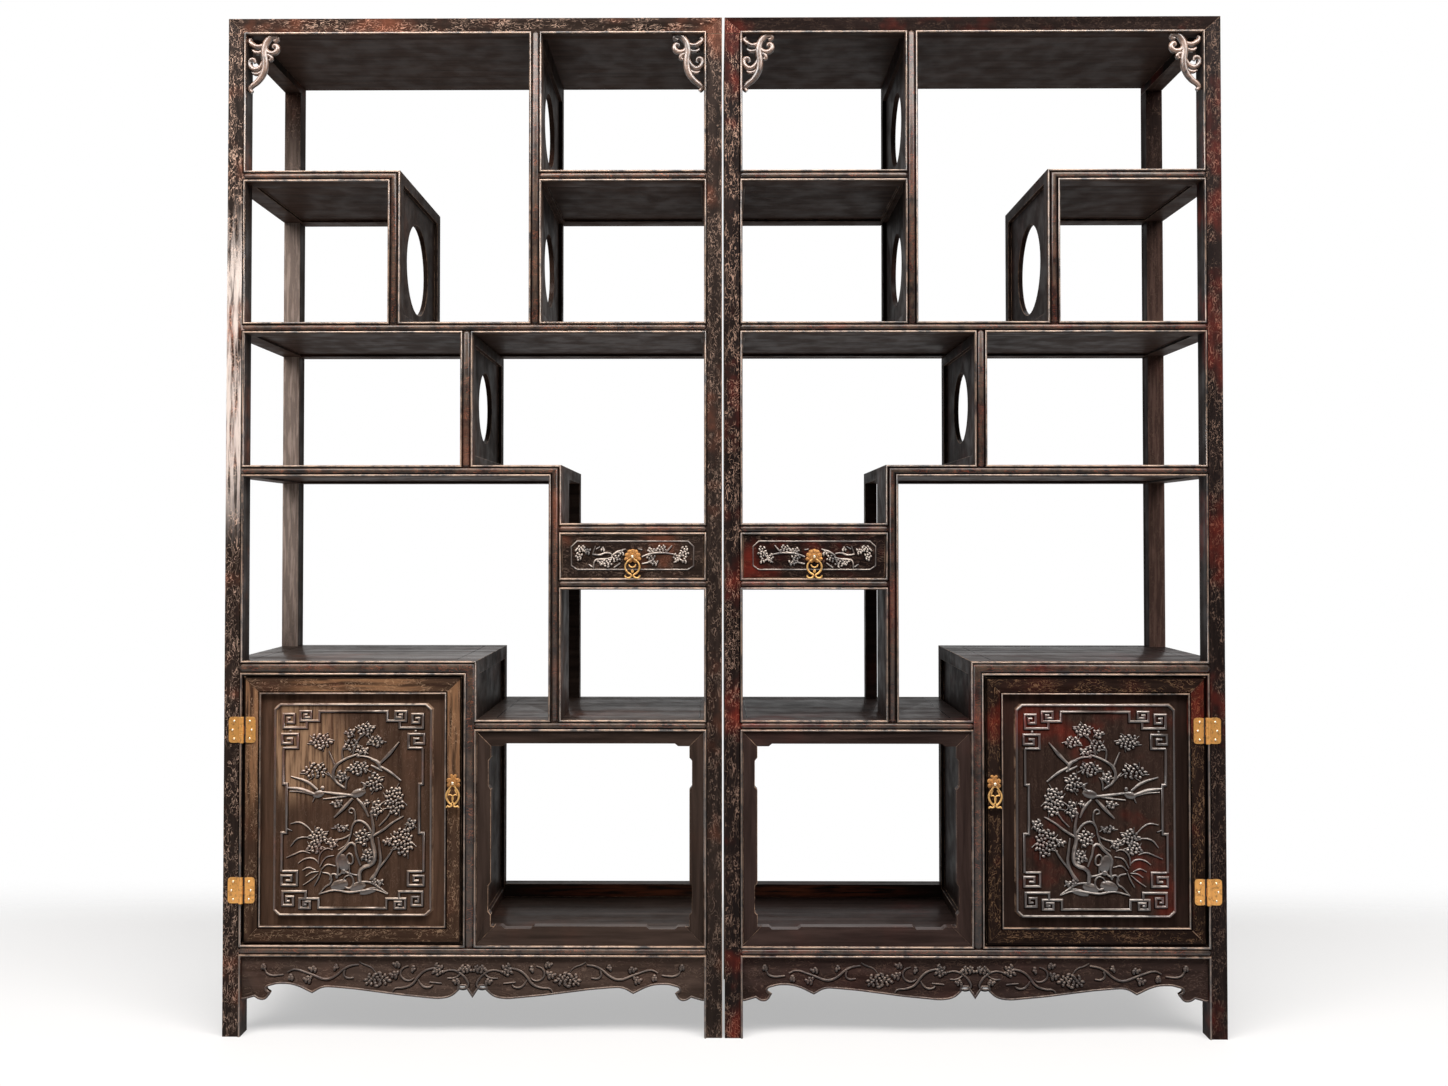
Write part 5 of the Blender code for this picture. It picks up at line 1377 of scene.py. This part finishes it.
# Floor, light and camera
# A plain pale floor under soft studio light, seen from the photograph's place: a little left of the
# middle, at half the cabinets' height.
FLOOR_REACH = 3.2
FLOOR_FADE = 1.4
FLOOR_BACK = (0.50, 0.95)
FLOOR_GREY = (0.37, 0.37, 0.37, 1.0)
FLOOR_GLOW = 0.43
WORLD_LIGHT = 0.23
WORLD_LOW = 0.55
WORLD_RISE = (-0.3, 0.6)
BACKDROP_LIGHT = 0.60
BACKDROP_TURN = (-0.25, 0.35)
ROOM_DARK = 0.15
ROOM_TURN = (-0.75, -0.15)
IMAGE_W = 1448
FOCAL_PX = 1268.6
SENSOR_MM = 36.0
CAMERA_PLACE = (-0.0150, -2.6355, 0.9660)
CAMERA_PITCH = 0.0181
CAMERA_YAW = 0.0074
CAMERA_SHIFT = (0.01227, -0.02031)
LAMP_COLOUR = (1.0, 0.965, 0.94)
LAMPS = (("left", (-2.4, -1.8, 3.0), (1.4, 1.4), 38.0), ("right", (2.4, -1.8, 3.0), (1.4, 1.4), 38.0),
         ("top", (0.0, -1.7, 3.5), (4.6, 1.5), 215.0))

floor_mesh = bmesh.new()
bmesh.ops.create_grid(floor_mesh, x_segments=1, y_segments=1, size=FLOOR_REACH)
floor_data = bpy.data.meshes.new("floor")
floor_mesh.to_mesh(floor_data)
floor_mesh.free()
floor = bpy.data.objects.new("floor", floor_data)
bpy.context.scene.collection.objects.link(floor)
pale_floor, floor_tree, floor_shader = start_material("pale_floor")
floor_shader.inputs["Base Color"].default_value = FLOOR_GREY
floor_shader.inputs["Roughness"].default_value = 0.9
floor_shader.inputs["Specular IOR Level"].default_value = 0.1
floor_shader.inputs["Emission Color"].default_value = (1.0, 1.0, 1.0, 1.0)
floor_path = wire(floor_tree, "ShaderNodeLightPath").outputs
floor_seen = maths(floor_tree, "MAXIMUM", floor_path["Is Camera Ray"], floor_path["Is Glossy Ray"])
floor_seen = maths(floor_tree, "MAXIMUM", floor_seen, floor_path["Is Transmission Ray"])
floor_tree.links.new(maths(floor_tree, "MULTIPLY", floor_seen, FLOOR_GLOW),
                     floor_shader.inputs["Emission Strength"])
floor_place = object_place(floor_tree)
floor_far = wire(floor_tree, "ShaderNodeVectorMath", {0: floor_place}, operation="LENGTH").outputs["Value"]
floor_depth = axis_of(floor_tree, floor_place, "Y")
floor_near = maths(floor_tree, "MULTIPLY", remap(floor_tree, floor_far, FLOOR_FADE, FLOOR_REACH, 1.0, 0.0),
                   remap(floor_tree, floor_depth, *FLOOR_BACK, 1.0, 0.0))
floor_tree.links.new(floor_near, floor_shader.inputs["Alpha"])
floor_data.materials.append(pale_floor)

world = bpy.data.worlds.new("studio")
world.use_nodes = True
bpy.context.scene.world = world
sky = world.node_tree
backdrop = sky.nodes["Background"]
backdrop.inputs["Color"].default_value = (1.0, 1.0, 1.0, 1.0)
path = wire(sky, "ShaderNodeLightPath").outputs
seen = maths(sky, "MAXIMUM", path["Is Camera Ray"], path["Is Transmission Ray"])
facing = wire(sky, "ShaderNodeTexCoord").outputs["Generated"]
towards = wire(sky, "ShaderNodeSeparateXYZ", {"Vector": facing}).outputs
room = remap(sky, towards["Y"], *ROOM_TURN, ROOM_DARK, 1.0)
mirrored_room = maths(sky, "MULTIPLY", path["Is Glossy Ray"], room)
overhead = remap(sky, towards["Z"], *WORLD_RISE, WORLD_LOW, 1.0)
behind = remap(sky, towards["Y"], *BACKDROP_TURN, WORLD_LIGHT, BACKDROP_LIGHT)
unseen = maths(sky, "SUBTRACT", 1.0, maths(sky, "MAXIMUM", seen, path["Is Glossy Ray"]))
lit = maths(sky, "MULTIPLY", unseen, maths(sky, "MULTIPLY", overhead, behind))
level = maths(sky, "ADD", maths(sky, "ADD", seen, mirrored_room), lit)
sky.links.new(level, backdrop.inputs["Strength"])

for lamp_name, lamp_place, lamp_size, lamp_power in LAMPS:
    lamp_data = bpy.data.lights.new(lamp_name, "AREA")
    lamp_data.shape = "RECTANGLE"
    lamp_data.size, lamp_data.size_y = lamp_size
    lamp_data.energy = lamp_power
    lamp_data.color = LAMP_COLOUR
    lamp = bpy.data.objects.new(lamp_name, lamp_data)
    lamp.location = lamp_place
    lamp.rotation_euler = (Vector((0.0, 0.0, 1.0)) - Vector(lamp_place)).to_track_quat("-Z", "Y").to_euler()
    bpy.context.scene.collection.objects.link(lamp)

camera_data = bpy.data.cameras.new("camera")
camera_data.sensor_width = SENSOR_MM
camera_data.lens = SENSOR_MM * FOCAL_PX / IMAGE_W
camera_data.shift_x, camera_data.shift_y = CAMERA_SHIFT
camera = bpy.data.objects.new("camera", camera_data)
camera.location = CAMERA_PLACE
camera.rotation_euler = (math.pi / 2 + CAMERA_PITCH, 0.0, CAMERA_YAW)
bpy.context.scene.collection.objects.link(camera)
bpy.context.scene.camera = camera
bpy.context.scene.view_settings.view_transform = "Standard"

# Finish
# The view layer is brought up to date.
bpy.context.view_layer.update()
